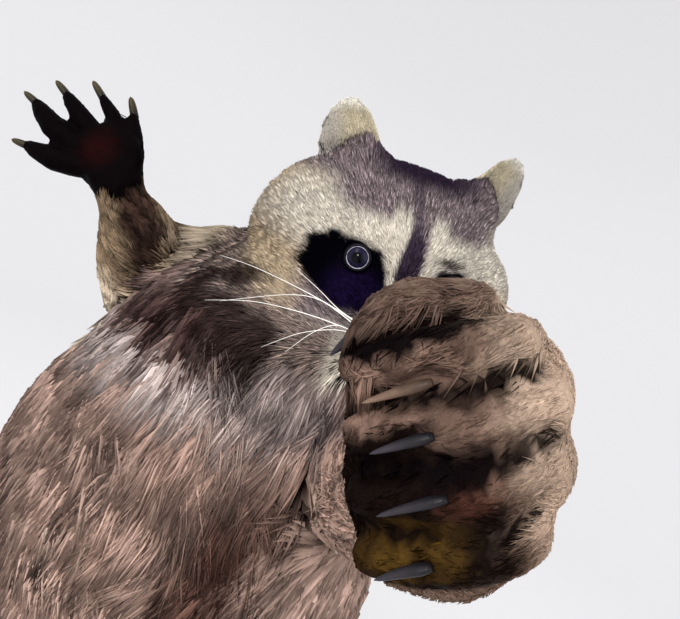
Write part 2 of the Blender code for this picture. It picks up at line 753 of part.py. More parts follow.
def build():
    clear_scene()
    pieces = {}
    place = head_place()
    flesh = blended(
        "trunk",
        [
            loft("torso", TORSO, round_start=0.56),
            ellipsoid("nape", (-0.030, -0.012, 0.372), (0.054, 0.048, 0.042)),
            ellipsoid("ruff", (-0.020, -0.046, 0.396), (0.057, 0.048, 0.057)),
            *head_shapes(place),
        ],
        FLESH_VOXEL,
        10,
        FLESH_TRIANGLES,
        0.335,
    )

    # The head's hard parts, and the ears.
    for side, name in ((-1, "right"), (1, "left")):
        eye = ellipsoid(f"eye_{name}", (side * EYE_SPREAD, -0.0010, 0), (EYE_RADIUS,) * 3, place, segments=12)
        fit_into(flesh, eye)
        pieces[eye.name] = finished(eye, EYE)
    nose = ellipsoid("nose", (0, -0.0585, -0.0235), (0.0092, 0.0062, 0.0068), place, segments=10)
    fit_into(flesh, nose)
    pieces["nose"] = finished(nose, NOSE)
    for side, name in ((-1, "right"), (1, "left")):
        pieces[f"ear_{name}"] = ear(f"ear_{name}", side, place, flesh)
    pieces["head"] = sever(flesh, "head", (0.005, -0.050, 0.357), (0.10, -0.36, 0.93), 0.13, HEAD_POINT)
    beyond = (0.005, -0.050, 0.352)
    pieces["neck"] = sever(flesh, "neck", (0.0, -0.044, 0.333), (0.06, -0.16, 0.98), 0.14, beyond)
    pieces["trunk"] = flesh

    # Arms: the body and each upper arm make room for what lies against them.
    right_hand = open_hand(pieces)
    left_hand = fist(pieces)
    arms = (
        ("right", UPPER_ARM_RIGHT, FOREARM_RIGHT, right_hand, (0, -0.7, -0.7)),
        ("left", UPPER_ARM_LEFT, FOREARM_LEFT, left_hand, FIST_ACROSS),
    )
    for name, upper_stations, lower_stations, hand, side in arms:
        upper = limb(f"upper_arm_{name}", upper_stations, 115, side)
        lower = limb(f"forearm_{name}", lower_stations, 115, side)
        forward = hand.to_3x3() @ Vector((0, 1, 0))
        trimmed_beyond(lower, hand @ Vector((0, -GAP, 0)), forward, 0.035, 0.03)
        fit_into(upper, lower)
        for body in ("trunk", "neck", "head"):
            fit_into(pieces[body], upper)
            fit_into(pieces[body], lower)
        pieces[upper.name], pieces[lower.name] = upper, lower

    # Hind legs, with flat soles on the floor.
    for side, name in ((-1, "right"), (1, "left")):
        thigh, shank = (
            limb(f"{part}_{name}", [(SITE_X + side * s[0], *s[1:]) for s in stations], 110)
            for part, stations in (("thigh", THIGH), ("shank", SHANK))
        )
        sole = foot(side, pieces)
        fit_into(shank, sole)
        fit_into(thigh, sole)
        fit_into(thigh, shank)
        fit_into(pieces["trunk"], thigh)
        fit_into(pieces["trunk"], shank)
        pieces[thigh.name], pieces[shank.name] = thigh, shank

    tail = limb("tail_base", TAIL, 210, (0, 0, 1))
    fit_into(tail, pieces["trunk"])
    middle = sever_joint(tail, "tail_middle", TAIL[1], TAIL[2], TAIL[3], 0.07)
    pieces["tail_tip"] = sever_joint(middle, "tail_tip", TAIL[2], TAIL[3], TAIL[4], 0.07)
    pieces["tail_base"], pieces["tail_middle"] = tail, middle

    # Flats at floor level.
    for name, piece in pieces.items():
        if name.startswith(("trunk", "thigh", "shank", "tail")):
            flattened_below(piece)
    for piece in pieces.values():
        if not piece.data.materials or piece.data.materials[0] is None:
            finished(piece, FUR)

    # The origin is on the floor, under the middle of the whole model.
    corners = [v.co for piece in pieces.values() for v in piece.data.vertices]
    low = Vector(min(c[i] for c in corners) for i in range(3))
    high = Vector(max(c[i] for c in corners) for i in range(3))
    shift = Matrix.Translation((-(low.x + high.x) / 2, -(low.y + high.y) / 2, -low.z))
    for piece in pieces.values():
        piece.data.transform(shift)
    print("shift", shift.translation, "size", high - low)


build()
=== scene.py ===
import math

import bpy
import numpy as np
from mathutils import Matrix, Vector
from mathutils.bvhtree import BVHTree


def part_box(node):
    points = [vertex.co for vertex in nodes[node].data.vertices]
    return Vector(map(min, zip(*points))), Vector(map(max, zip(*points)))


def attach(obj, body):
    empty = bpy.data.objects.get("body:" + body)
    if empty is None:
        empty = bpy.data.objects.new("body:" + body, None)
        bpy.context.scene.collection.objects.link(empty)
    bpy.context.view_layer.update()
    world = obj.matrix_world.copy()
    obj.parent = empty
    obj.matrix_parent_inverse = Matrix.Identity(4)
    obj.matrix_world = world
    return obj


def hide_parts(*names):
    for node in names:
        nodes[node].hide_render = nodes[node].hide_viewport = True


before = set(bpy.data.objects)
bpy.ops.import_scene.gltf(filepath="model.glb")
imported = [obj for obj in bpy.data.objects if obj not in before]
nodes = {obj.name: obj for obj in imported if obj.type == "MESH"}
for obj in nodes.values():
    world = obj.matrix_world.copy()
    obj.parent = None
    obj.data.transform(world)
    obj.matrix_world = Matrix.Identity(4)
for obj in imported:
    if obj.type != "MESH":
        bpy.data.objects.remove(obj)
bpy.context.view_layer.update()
rng = np.random.default_rng(11)
print("frame loaded:", len(nodes), "nodes")


# Small helpers.
def nodeCentre(name):
    low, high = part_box(name)
    return (low + high) / 2


def turned(degrees, axis):
    return Matrix.Rotation(math.radians(degrees), 4, axis)


def paint(red, green, blue):  # screen colour, 0 to 255, to the linear values that shaders use
    value = np.array([red, green, blue]) / 255.0
    return np.where(value <= 0.04045, value / 12.92, ((value + 0.055) / 1.055) ** 2.4)


def ramp(value, low, high):  # 0 below low, 1 above high, smooth between
    t = np.clip((value - low) / (high - low), 0, 1)
    return t * t * (3 - 2 * t)


def unit(vectors):
    return vectors / np.maximum(np.linalg.norm(vectors, axis=-1, keepdims=True), 1e-12)


def mixed(a, b, share):
    return a + (b - a) * share[:, None]


def putIn(name, data):  # a new object in the scene
    thing = bpy.data.objects.new(name, data)
    bpy.context.scene.collection.objects.link(thing)
    return thing


def selectOnly(thing):
    bpy.ops.object.select_all(action="DESELECT")
    thing.select_set(True)
    bpy.context.view_layer.objects.active = thing


def addBall(name, radius=1.0, segments=64, rings=48):
    bpy.ops.object.select_all(action="DESELECT")
    bpy.ops.mesh.primitive_uv_sphere_add(segments=segments, ring_count=rings, radius=radius)
    ball = bpy.context.active_object
    ball.name = name
    return ball


def withModifier(thing, kind, **settings):  # adds a modifier and applies it
    modifier = thing.modifiers.new(kind.lower(), kind)
    for setting, value in settings.items():
        setattr(modifier, setting, value)
    selectOnly(thing)
    bpy.ops.object.modifier_apply(modifier=modifier.name)


def addMesh(name, points, faces):  # faces is an array with one row of corners for each face
    mesh = bpy.data.meshes.new(name)
    points, faces = np.asarray(points, np.float32), np.asarray(faces, np.int32)
    mesh.vertices.add(len(points))
    mesh.vertices.foreach_set("co", points.ravel())
    mesh.loops.add(faces.size)
    mesh.loops.foreach_set("vertex_index", faces.ravel())
    mesh.polygons.add(len(faces))
    mesh.polygons.foreach_set("loop_start", np.arange(0, faces.size, faces.shape[1], dtype=np.int32))
    mesh.update(calc_edges=True)
    return putIn(name, mesh)


def readRows(items, field, width, kind=np.float32):  # a row of numbers for each item of a mesh
    values = np.empty(len(items) * width, kind)
    items.foreach_get(field, values)
    return values.reshape(-1, width)


def pointsOf(thing):
    return readRows(thing.data.vertices, "co", 3).astype(float)


def normalsOf(thing):
    return readRows(thing.data.vertices, "normal", 3).astype(float)


def setPoints(thing, points):
    thing.data.vertices.foreach_set("co", np.asarray(points, np.float32).ravel())
    thing.data.update()


def cornersOf(thing):
    thing.data.calc_loop_triangles()
    return readRows(thing.data.loop_triangles, "vertices", 3, np.int32)


def edgesOf(thing):
    return readRows(thing.data.edges, "vertices", 2, np.int32)


def moved(place, points):
    matrix = np.array(place)
    return points @ matrix[:3, :3].T + matrix[:3, 3]


def inPlace(place, points):  # from the frame's places to a place's own
    return moved(place.inverted(), points)


def turnedTo(place, direction):  # a direction in a place's own axes, to the frame's
    return place.to_3x3() @ Vector(direction)


def nearestOn(a, b, points):  # share of the way from a to b, and the distance from that line
    t = np.clip((points - a) @ (b - a) / ((b - a) @ (b - a)), 0, 1)
    return t, np.linalg.norm(points - a - t[:, None] * (b - a), axis=1)


def spread(values, edges, rounds, amount=0.5):  # evens values out between neighbours
    values = np.asarray(values, float)
    flat = values.reshape(len(values), -1)
    a, b = edges[:, 0], edges[:, 1]
    degree = np.bincount(a, minlength=len(flat)) + np.bincount(b, minlength=len(flat))
    degree = np.maximum(degree, 1)
    share = amount if np.ndim(amount) == 0 else np.asarray(amount)[:, None]
    for _ in range(rounds):
        summed = np.stack([
            np.bincount(a, flat[b, k], len(flat)) + np.bincount(b, flat[a, k], len(flat))
            for k in range(flat.shape[1])
        ], 1)
        flat = flat + (summed / degree[:, None] - flat) * share
    return flat.reshape(values.shape)


easeBack = -1.04  # how far each round of easing is taken back, so that a shape keeps its size


def eased(points, edges, rounds, amount):
    for _ in range(rounds):
        points = spread(points, edges, 1, amount)
        points = spread(points, edges, 1, easeBack * amount)
    return points


def setColours(thing, name, colours):
    layer = thing.data.color_attributes.new(name, "FLOAT_COLOR", "POINT")
    full = np.ones((len(colours), 4), np.float32)
    full[:, :3] = np.clip(colours, 0, 1)
    layer.data.foreach_set("color", full.ravel())


def smoothShaded(thing):
    thing.data.polygons.foreach_set("use_smooth", np.ones(len(thing.data.polygons), bool))
    thing.data.update()
    return thing


# Where things are. The head's own axes: x to the animal's left, -y out along the nose, z up.
head = {
    "turns": ((11, "Z"), (20, "X"), (-7, "Y")),
    "eyeForward": 0.001,  # the eyes' middles stand this far ahead of the head's origin
    "sculpted": (0.0222, -0.097, 0.3925),  # the head's origin as it was sculpted
    "eye": (0.0251, -0.001, 0.0),
    "nose": (0.0, -0.0585, -0.0235),
    "ear": (0.0425, 0.044, 0.0285),  # root of an ear
}
hands = {  # origin, across the knuckles, and along the fingers
    "fist": ((0.0302, -0.255, 0.347), (-0.630, 0.0, 0.777), (-0.10, -0.985, 0.14)),
    "open": ((-0.136, -0.087, 0.368), (0.616, 0.06, 0.788), (-0.788, 0.10, 0.616)),
}
eyesMiddle = (nodeCentre("eye_left") + nodeCentre("eye_right")) / 2
headTurn = Matrix.Identity(4)
for degrees, axis in head["turns"]:
    headTurn = headTurn @ turned(degrees, axis)
headPlace = Matrix.Translation(eyesMiddle + headTurn @ Vector((0, head["eyeForward"], 0))) @ headTurn
site = headPlace.translation - Vector(head["sculpted"])  # from the sculptor's origin to the frame's


def handFrame(origin, across, forward):
    across, forward = Vector(across).normalized(), Vector(forward).normalized()
    forward = (forward - across * forward.dot(across)).normalized()
    outward = across.cross(forward)
    turn = Matrix((across, forward, outward)).transposed().to_4x4()
    return Matrix.Translation(site + Vector(origin)) @ turn


fistPlace, openPlace = handFrame(*hands["fist"]), handFrame(*hands["open"])


# Camera.
camera = {"place": (0.0, -0.384, 0.36), "roll": 24, "lens": 28.59, "sensor": 36, "closest": 0.005}
cameraData = bpy.data.cameras.new("camera")
cameraData.lens, cameraData.sensor_width = camera["lens"], camera["sensor"]
cameraData.clip_start = camera["closest"]
cameraObject = putIn("camera", cameraData)
rollAngle = math.radians(camera["roll"])
cameraAxes = Matrix((
    (math.cos(rollAngle), 0, math.sin(rollAngle)),
    (-math.sin(rollAngle), 0, math.cos(rollAngle)),
    (0, -1, 0),
)).transposed().to_4x4()
cameraObject.matrix_world = Matrix.Translation(site + Vector(camera["place"])) @ cameraAxes
bpy.context.scene.camera = cameraObject


# The body's form, from the solids of flesh.
body = {
    "bridge": 0.0009,  # how far the meeting faces of two solids are pushed into each other
    "near": 0.0013,  # what counts as meeting
    "fineness": 0.0016,  # grid that the solids are fused on
    "fingerSlim": 0.0005,  # the fist's fingers are slimmer than their solids, so that they stay apart
    "creaseDepth": 0.0015,
    "webs": (  # soft skin under the thumb and at its root: centre and radii, in the fist's own frame
        ((0.0215, 0.0300, -0.0045), (0.0036, 0.0062, 0.0120)),
        ((0.0235, 0.0230, 0.0070), (0.0058, 0.0070, 0.0085)),
    ),
}

fleshNames = sorted(name for name in nodes if not name.startswith(("claw", "eye", "nose")))


def mergedMesh(name):  # a node's points and triangles, with doubled points merged
    thing = nodes[name]
    points, corners = pointsOf(thing), cornersOf(thing)
    _, first, back = np.unique(np.round(points, 6), axis=0, return_index=True, return_inverse=True)
    corners = back.ravel()[corners]
    whole = (corners != np.roll(corners, 1, 1)).all(1)
    return points[first], corners[whole]


def pointNormals(points, corners):
    a, b, c = (points[corners[:, k]] for k in range(3))
    facing = np.cross(b - a, c - a)
    total = np.zeros_like(points)
    for k in range(3):
        np.add.at(total, corners[:, k], facing)
    return unit(total)


def treeOf(points, corners):  # for the nearest place on a mesh
    return BVHTree.FromPolygons(points.tolist(), corners.tolist())


merged = {name: mergedMesh(name) for name in fleshNames}
trees = {name: treeOf(*shape) for name, shape in merged.items()}
allPoints, allCorners, cornerNode, offset = [], [], [], 0
for index, name in enumerate(fleshNames):
    points, corners = merged[name]
    if name.startswith("finger"):
        others = [trees["hand_" + name.split("_")[1]]]
    else:
        others = [tree for other, tree in trees.items() if other != name and not other.startswith("finger")]
    push = np.zeros(len(points))
    for i, point in enumerate(points):
        if any(tree.find_nearest(point, body["near"])[0] is not None for tree in others):
            push[i] = body["bridge"]
        elif name.startswith("finger_left"):
            push[i] = -body["fingerSlim"]
    allPoints.append(points + pointNormals(points, corners) * push[:, None])
    allCorners.append(corners + offset)
    cornerNode += [index] * len(corners)
    offset += len(points)
# which solid each point belongs to is found from the solids as they were
solidTree = treeOf(np.concatenate([merged[name][0] for name in fleshNames]), np.concatenate(allCorners))
ball = addBall("web", segments=32, rings=20)
ballPoints, ballCorners = pointsOf(ball), cornersOf(ball)
bpy.data.objects.remove(ball)
for centre, radii in body["webs"]:
    allPoints.append(moved(fistPlace, ballPoints * radii + centre))
    allCorners.append(ballCorners + offset)
    offset += len(ballPoints)
fused = addMesh("sculpt", np.concatenate(allPoints), np.concatenate(allCorners))
withModifier(fused, "REMESH", mode="VOXEL", voxel_size=body["fineness"], use_smooth_shade=True)
print("fused:", len(fused.data.polygons), "faces")

edges = edgesOf(fused)
cornerNode = np.array(cornerNode)
outer = pointsOf(fused)
owner = cornerNode[np.array([solidTree.find_nearest(p)[2] for p in outer])]


def isOn(belongs, *starts):  # which places are on solids whose names start so
    return np.isin(belongs, [i for i, name in enumerate(fleshNames) if name.startswith(starts)])


def ownedBy(*starts):
    return isOn(owner, *starts)


isHand, isFoot, isEar, isHead = ownedBy("hand", "finger"), ownedBy("foot"), ownedBy("ear"), ownedBy("head")
firm = isHand | isEar | isFoot
outer = spread(outer, edges, 30, spread(np.where(firm, 0.0, np.where(isHead, 0.3, 0.5)), edges, 4))
outer = eased(outer, edges, 4, spread(np.where(firm, 0.5, 0.0), edges, 2))
slits = (  # slits over the knuckles, pressed in and painted dark as shade, in the fist's own frame: from x, z to x, z, with half a width
    ((0.0129, 0.0052), (0.0116, 0.0150), 0.0012),
    ((-0.0004, -0.0085), (0.0010, 0.0120), 0.0013),
    ((-0.0112, 0.0010), (-0.0098, 0.0062), 0.0010),
)


def fistCreases(points):  # 1 between the fingers of the fist and in the slits over its knuckles
    fingers = [trees[f"finger_left_{finger}"] for finger in range(1, 6)]
    gaps = np.array([[tree.find_nearest(point)[3] for tree in fingers] for point in points])
    gaps = np.sort(gaps.reshape(-1, len(fingers)), 1)
    fist = inPlace(fistPlace, points)
    crease = 1 - ramp(gaps[:, 1], 0.0010, 0.0026)  # the second nearest finger is close only in a gap
    for start, end, half in slits:
        t, away = nearestOn(np.array(start), np.array(end), fist[:, [0, 2]])
        slit = (1 - ramp(away, half * (1 - 0.6 * t), half * 2.2)) * ramp(fist[:, 1], 0.028, 0.034)
        crease = np.maximum(crease, slit)
    return crease


setPoints(fused, outer)
leftHand = ownedBy("hand_left", "finger_left")
pressed = np.zeros(len(outer))
pressed[leftHand] = fistCreases(outer[leftHand])
outer = outer - normalsOf(fused) * (spread(pressed, edges, 3) * body["creaseDepth"])[:, None]
setPoints(fused, outer)
outerNormals = normalsOf(fused)
print("solids found for", len(outer), "points")


# The coat's depth, lie, length and thickness over the body.
def byPart(table):  # a value for each point of the body from a table of part names
    values = np.zeros(len(fleshNames))
    for start, value in table.items():
        values[[name.startswith(start) for name in fleshNames]] = value
    return values[owner]


coat = {  # metres, and tufts for each square metre; the head has fields of its own below
    "depth": {
        "trunk": 0.017, "neck": 0.014, "ear": 0.0007, "upper_arm": 0.011, "forearm": 0.0055,
        "hand": 0.0008, "finger": 0.0003, "finger_left_1": 0.0009, "thigh": 0.016, "shank": 0.007,
        "foot": 0.0012, "tail_base": 0.020, "tail_middle": 0.024, "tail_tip": 0.018,
    },
    "length": {
        "trunk": 0.046, "neck": 0.032, "ear": 0.0032, "upper_arm": 0.028, "forearm": 0.015,
        "hand": 0.0050, "finger": 0.0036, "finger_left_1": 0.0085, "finger_left_2": 0.0060, "thigh": 0.036,
        "shank": 0.018, "foot": 0.0060, "tail_base": 0.040, "tail_middle": 0.044, "tail_tip": 0.038,
    },
    "width": {
        "trunk": 0.00105, "neck": 0.00085, "ear": 0.00042, "upper_arm": 0.00085,
        "forearm": 0.00062, "hand": 0.00028, "finger": 0.00028, "finger_left_1": 0.00023, "thigh": 0.0011,
        "shank": 0.0009, "foot": 0.00060, "tail": 0.0017, "tail_tip": 0.0016,
    },
    "count": {
        "trunk": 2.2e5, "neck": 4.0e5, "ear": 9.0e5, "upper_arm": 2.8e5, "forearm": 6.0e5,
        "hand": 1.6e6, "finger": 1.5e6, "finger_left_1": 3.0e6, "finger_left_2": 2.2e6, "thigh": 1.0e5,
        "shank": 1.9e5, "foot": 3.6e5, "tail": 1.3e5,
    },
}
depth, length, width, count = (byPart(coat[key]) for key in ("depth", "length", "width", "count"))

# On the head the coat is shortest at the nose and eyes and longest in the cheek ruff.
headLocal = inPlace(headPlace, outer)
headX, headY, headZ = headLocal.T
headSide = np.abs(headX)
eyeAway = np.linalg.norm(np.stack([headSide, headY, headZ], 1) - head["eye"], axis=1)
noseAway = np.linalg.norm(headLocal - head["nose"], axis=1)
ruff = ramp(headSide, 0.030, 0.062) * ramp(headY, 0.010, 0.050) * ramp(-headZ, -0.030, 0.010)
fromMuzzle = ramp(noseAway, 0.02, 0.09)
faceDepth = 0.0013 + 0.0032 * ramp(headY, -0.01, 0.05) + 0.0075 * ruff
faceDepth = np.minimum(faceDepth, 0.0004 + 0.20 * np.maximum(eyeAway - 0.0088, 0))
faceLength = 0.0046 + 0.0050 * fromMuzzle + 0.012 * ruff
faceLength = np.minimum(faceLength, 0.0024 + 0.30 * np.maximum(eyeAway - 0.009, 0))
faceWidth = 0.00032 + 0.00014 * fromMuzzle + 0.00022 * ruff
faceCount = 1.40e6 - 6.5e5 * ramp(headY, 0.005, 0.060) - 2.0e5 * ruff
depth, length = np.where(isHead, faceDepth, depth), np.where(isHead, faceLength, length)
width, count = np.where(isHead, faceWidth, width), np.where(isHead, faceCount, count)
away = outer - np.array(site)  # places as the sculptor gave them
wristAway = np.linalg.norm(away - hands["open"][0], axis=1)
wristClose = ramp(-wristAway, -0.050, -0.014) * ownedBy("forearm_right")
depth, length = depth * (1 - 0.75 * wristClose), length * (1 - 0.45 * wristClose)
frontShare = ramp(-away[:, 1], -0.01, 0.05)  # the trunk's front is seen closest and has the finest locks
onTrunk = ownedBy("trunk")
frontTrunk = onTrunk & (away[:, 1] < 0.02)
count = np.where(onTrunk, count * (0.52 + 0.62 * frontShare), count)
width = np.where(onTrunk, width * (1.35 - 0.35 * frontShare), width)
evenness = spread(np.where(isHead & (eyeAway < 0.030), 0.05, 0.5), edges, 3)
depth, length = spread(depth, edges, 36, evenness), spread(length, edges, 26, evenness)
width, count = spread(width, edges, 16), spread(count, edges, 8)

# The lie: out from the nose on the head, down the body, along each limb and the tail.
lie = np.zeros((len(fleshNames), 3))
lie[:] = (0, 0, -1)


def lieAlong(name, start, end):
    lie[fleshNames.index(name)] = (nodeCentre(end) - nodeCentre(start)).normalized()


for sideName, sign in (("left", 1), ("right", -1)):
    lieAlong("upper_arm_" + sideName, "upper_arm_" + sideName, "forearm_" + sideName)
    lieAlong("forearm_" + sideName, "upper_arm_" + sideName, "hand_" + sideName)
    lieAlong("hand_" + sideName, "forearm_" + sideName, f"finger_{sideName}_3")
    for finger in range(1, 6):
        lieAlong(f"finger_{sideName}_{finger}", f"finger_{sideName}_{finger}", f"claw_{sideName}_{finger}")
    lie[fleshNames.index("thigh_" + sideName)] = Vector((sign * 0.25, -0.72, -0.45)).normalized()
    lie[fleshNames.index("shank_" + sideName)] = Vector((0, 0.1, -1)).normalized()
    lie[fleshNames.index("foot_" + sideName)] = Vector((sign * 0.17, -1, -0.1)).normalized()
    lie[fleshNames.index("ear_" + sideName)] = turnedTo(headTurn, (sign * 0.35, 0.05, 1)).normalized()
lieAlong("tail_base", "tail_base", "tail_middle")
lieAlong("tail_middle", "tail_base", "tail_tip")
lieAlong("tail_tip", "tail_middle", "tail_tip")
lieField = lie[owner]
outward = outer - np.array(nodeCentre("trunk"))
outward[:, 2] = 0
isTrunk = ownedBy("trunk", "neck")
lieField[isTrunk] = unit(np.array([-0.16, 0, -1.0]) + 0.34 * unit(outward)[isTrunk])
fromNose = headLocal - np.array([0, -0.070, -0.014])
fromNose[:, 2] -= 0.030 * ruff
lieField[isHead] = unit(fromNose @ np.array(headTurn.to_3x3()).T)[isHead]
lieField[ownedBy("finger_left_1")] = turnedTo(fistPlace, (-0.10, 0.22, -1)).normalized()
lieField[ownedBy("hand_left")] = unit(np.array(turnedTo(fistPlace, (0.1, 0.75, -0.25))))
fistLocal = inPlace(fistPlace, outer)
lieField = spread(lieField, edges, 30, np.where(isHand, 0.2, 0.5))
lieField = unit(lieField - outerNormals * (lieField * outerNormals).sum(1)[:, None])
print("coat fields ready")


# Markings, shared by skin and coat.
screenColours = {
    "cream": (221, 212, 197), "tan": (192, 172, 144), "faceGrey": (128, 114, 116), "crown": (40, 28, 46),
    "mask": (3, 2, 7), "maskTint": (32, 20, 58), "stripe": (44, 32, 50), "jaw": (132, 116, 108),
    "ear": (174, 167, 157), "earRim": (228, 224, 212), "earGold": (206, 192, 156), "earHollowShade": (140, 132, 126),
    "earBack": (70, 60, 58),
    "chest": (168, 155, 150), "shoulder": (118, 98, 92), "body": (156, 131, 119),
    "bodyLight": (176, 149, 135), "bodyDark": (62, 30, 20), "back": (116, 102, 92), "spine": (60, 50, 46),
    "armCream": (106, 90, 72), "armPale": (176, 160, 140), "armDark": (30, 15, 15), "leg": (98, 80, 70),
    "foot": (150, 134, 116), "palm": (4, 1, 2), "palmRed": (26, 3, 3),
    "fist": (152, 131, 114), "fistMid": (78, 58, 48), "fistDark": (14, 7, 5), "finger": (118, 94, 82),
    "thumb": (106, 87, 77), "olive": (70, 50, 18),
    "tailLight": (176, 154, 128), "tailDark": (38, 31, 30),
}
colours = {name: paint(*shade) for name, shade in screenColours.items()}


def lineAway(points, line):  # how far places are from a line with bends, and how far along it
    line = np.array(line)
    best, result, covered = np.full(len(points), 1e9), np.zeros(len(points)), 0.0
    for a, b in zip(line, line[1:]):
        span = np.linalg.norm(b - a)
        t, gap = nearestOn(a, b, points)
        closer = gap < best
        best, result = np.where(closer, gap, best), np.where(closer, covered + t * span, result)
        covered += span
    return best, result


furWave = [(rng.normal(size=3), rng.normal(size=3), rng.random() * 6.28) for _ in range(6)]


def wander(points, size):  # a smooth drift that turns this way and that over the body
    total = np.zeros_like(points)
    for across, push, start in furWave:
        total += np.sin(points @ across * (2.2 / size) + start)[:, None] * push
    return total / 3


def blob(points, centre, radii, soft):  # 1 inside an ellipsoid, fading out over soft, a share of its size
    reach = np.linalg.norm((points - np.array(centre)) / np.array(radii), axis=1)
    return 1 - ramp(reach, 1 - soft, 1 + soft)


def band(value, middle, half, soft):  # 1 within half of the middle, fading out over soft
    return 1 - ramp(np.abs(value - middle), half - soft / 2, half + soft / 2)


def insideOutline(u, v, outline, soft):  # 1 inside a closed outline, fading out over soft
    outline = np.array(outline)
    nearest, crossings = np.full(len(u), 1e9), np.zeros(len(u), int)
    for a, b in zip(outline, np.roll(outline, -1, 0)):
        nearest = np.minimum(nearest, nearestOn(a, b, np.stack([u, v], 1))[1])
        between = (a[1] > v) != (b[1] > v)
        crossings += between & (u < (b[0] - a[0]) * (v - a[1]) / (b[1] - a[1] + 1e-12) + a[0])
    return 1 - ramp(np.where(crossings % 2 == 1, -nearest, nearest), -soft, soft)


# The mask around an eye, as places out to the side and up from the middle of the face.
maskOutline = [
    (0.048, 0.0045), (0.040, 0.0085), (0.035, 0.0078), (0.028, 0.0094), (0.016, 0.0086), (0.0105, 0.001),
    (0.0090, -0.008), (0.0115, -0.018), (0.024, -0.026), (0.034, -0.0250), (0.0455, -0.0195),
    (0.0535, -0.0150), (0.0540, -0.007), (0.052, 0.000),
]


def fromEarRoot(side, y, z):
    return np.linalg.norm(np.stack([side, y, z], 1) - head["ear"], axis=1)


def layered(ground, count, *layers):  # a ground colour with others laid over it, each by its share
    colour = np.tile(colours[ground], (count, 1))
    for name, share in layers:
        colour = mixed(colour, colours[name], share)
    return colour


def faceMarkings(local):
    x, y, z = local.T
    side = np.abs(x)
    crown = ramp(z, 0.036, 0.047) * (1 - ramp(side, 0.025, 0.044))
    nape = ramp(y, 0.050, 0.066) * ramp(z, 0.016, 0.036) * (1 - 0.8 * ramp(side, 0.030, 0.046))
    earNear = fromEarRoot(side, y, z)
    temple = ramp(side, 0.036, 0.050) * (1 - ramp(np.abs(z - 0.012), 0.010, 0.026))
    browTop = 0.0215 + 0.14 * np.maximum(side - 0.045, 0) - 0.10 * np.clip(side - 0.020, 0, 0.02)
    brow = (1 - ramp(z, browTop - 0.002, browTop + 0.006)) * ramp(z, 0.000, 0.006) * ramp(side, 0.004, 0.008)
    bridge = band(side, 0.0100, 0.0050, 0.004) * (1 - ramp(z, 0.024, 0.034)) * ramp(z, -0.026, -0.012)
    # the stripe down the forehead is a little off the middle and wider at its foot
    middle = -0.0045 * ramp(z, 0.0, 0.045)
    half = 0.0027 + 0.0028 * (1 - ramp(z, 0.004, 0.026))
    stripe = 1 - ramp(np.abs(x - middle), half - 0.0010, half + 0.0016)
    stripe *= (1 - ramp(y, 0.045, 0.055)) * ramp(z, -0.028, -0.016)
    face = layered(
        "faceGrey", len(local),
        ("crown", np.maximum(crown, nape) * (0.30 + 0.70 * ramp(earNear, 0.016, 0.036))),
        ("tan", ramp(side, 0.040, 0.060) * (1 - ramp(z, 0.020, 0.036))),
        ("cream", temple * (1 - ramp(y, 0.034, 0.060)) * 0.75),
        ("cream", brow * (1 - ramp(side, 0.062, 0.078)) * (1 - ramp(y, 0.030, 0.050))),
        ("cream", bridge * (1 - ramp(y, 0.0, 0.02))),
        ("stripe", stripe * (0.94 - 0.45 * ramp(z, 0.014, 0.032))),
        ("armDark", 0.9 * blob(np.stack([x, z, y * 0], 1), (0.0200, 0.0120, 0), (0.0090, 0.0022, 1), 0.6)),
    )
    # the mask, kept smaller on the left
    ragged = 0.0011 * wander(local, 0.006)
    mask = insideOutline(side + ragged[:, 0], z + ragged[:, 1], maskOutline, 0.0022)
    mask *= 1 - (x > 0) * ramp(side, 0.030, 0.036) * ramp(z, -0.016, -0.006)
    mask *= 1 - ramp(y, 0.020, 0.034)
    blue = blob(np.stack([side, y, z], 1), (0.022, -0.014, -0.016), (0.015, 0.03, 0.011), 0.6)
    face += (layered("mask", len(local), ("maskTint", blue * 0.6)) - face) * mask[:, None]
    # muzzle, nose, mouth, chin and jaw
    mouth = band(z, -0.0335 + 0.10 * (side - 0.008), 0.0009, 0.0012)
    mouth *= ramp(-y, 0.014, 0.022) * (1 - ramp(side, 0.016, 0.020))
    chin = ramp(-z, 0.034, 0.040) * ramp(-y, -0.03, 0.0) * (1 - ramp(side, 0.012, 0.022))
    for name, share in (
        ("cream", 0.95 * ramp(-y, 0.018, 0.028) * (1 - ramp(z, -0.016, -0.008)) * (1 - mask)),
        ("palm", ramp(-y, 0.046, 0.052)),
        ("cream", chin * (1 - mouth)),
        ("jaw", ramp(-z + 0.25 * y, 0.024, 0.032) * ramp(side, 0.020, 0.030) * (1 - mask)),
        ("palm", mouth),
    ):
        face = mixed(face, colours[name], share)
    return face


def earMarkings(local, facing):
    x, y, z = local.T
    side = np.abs(x)
    height = fromEarRoot(side, y, z)
    inner = ramp(-(side - 0.048 - 0.3 * (z - 0.03)), -0.004, 0.010)
    uneven = 0.005 * wander(local, 0.004)[:, 0]
    root = (1 - ramp(height + uneven, 0.012, 0.036)) * ramp(-side, -0.062, -0.036)
    return layered(
        "ear", len(local),
        # painted shade: the front of the ear is darker near its root, in its hollow
        ("earHollowShade", ramp(facing, 0.2, 0.7) * (1 - ramp(height, 0.014, 0.032)) * 0.8),
        ("earGold", inner * ramp(height, 0.010, 0.022) * 0.6),
        ("crown", root * 0.6),
        ("earBack", ramp(-facing, 0.1, 0.6) * (1 - ramp(height, 0.016, 0.036))),
        ("earRim", ramp(height, 0.036, 0.043)),
    )


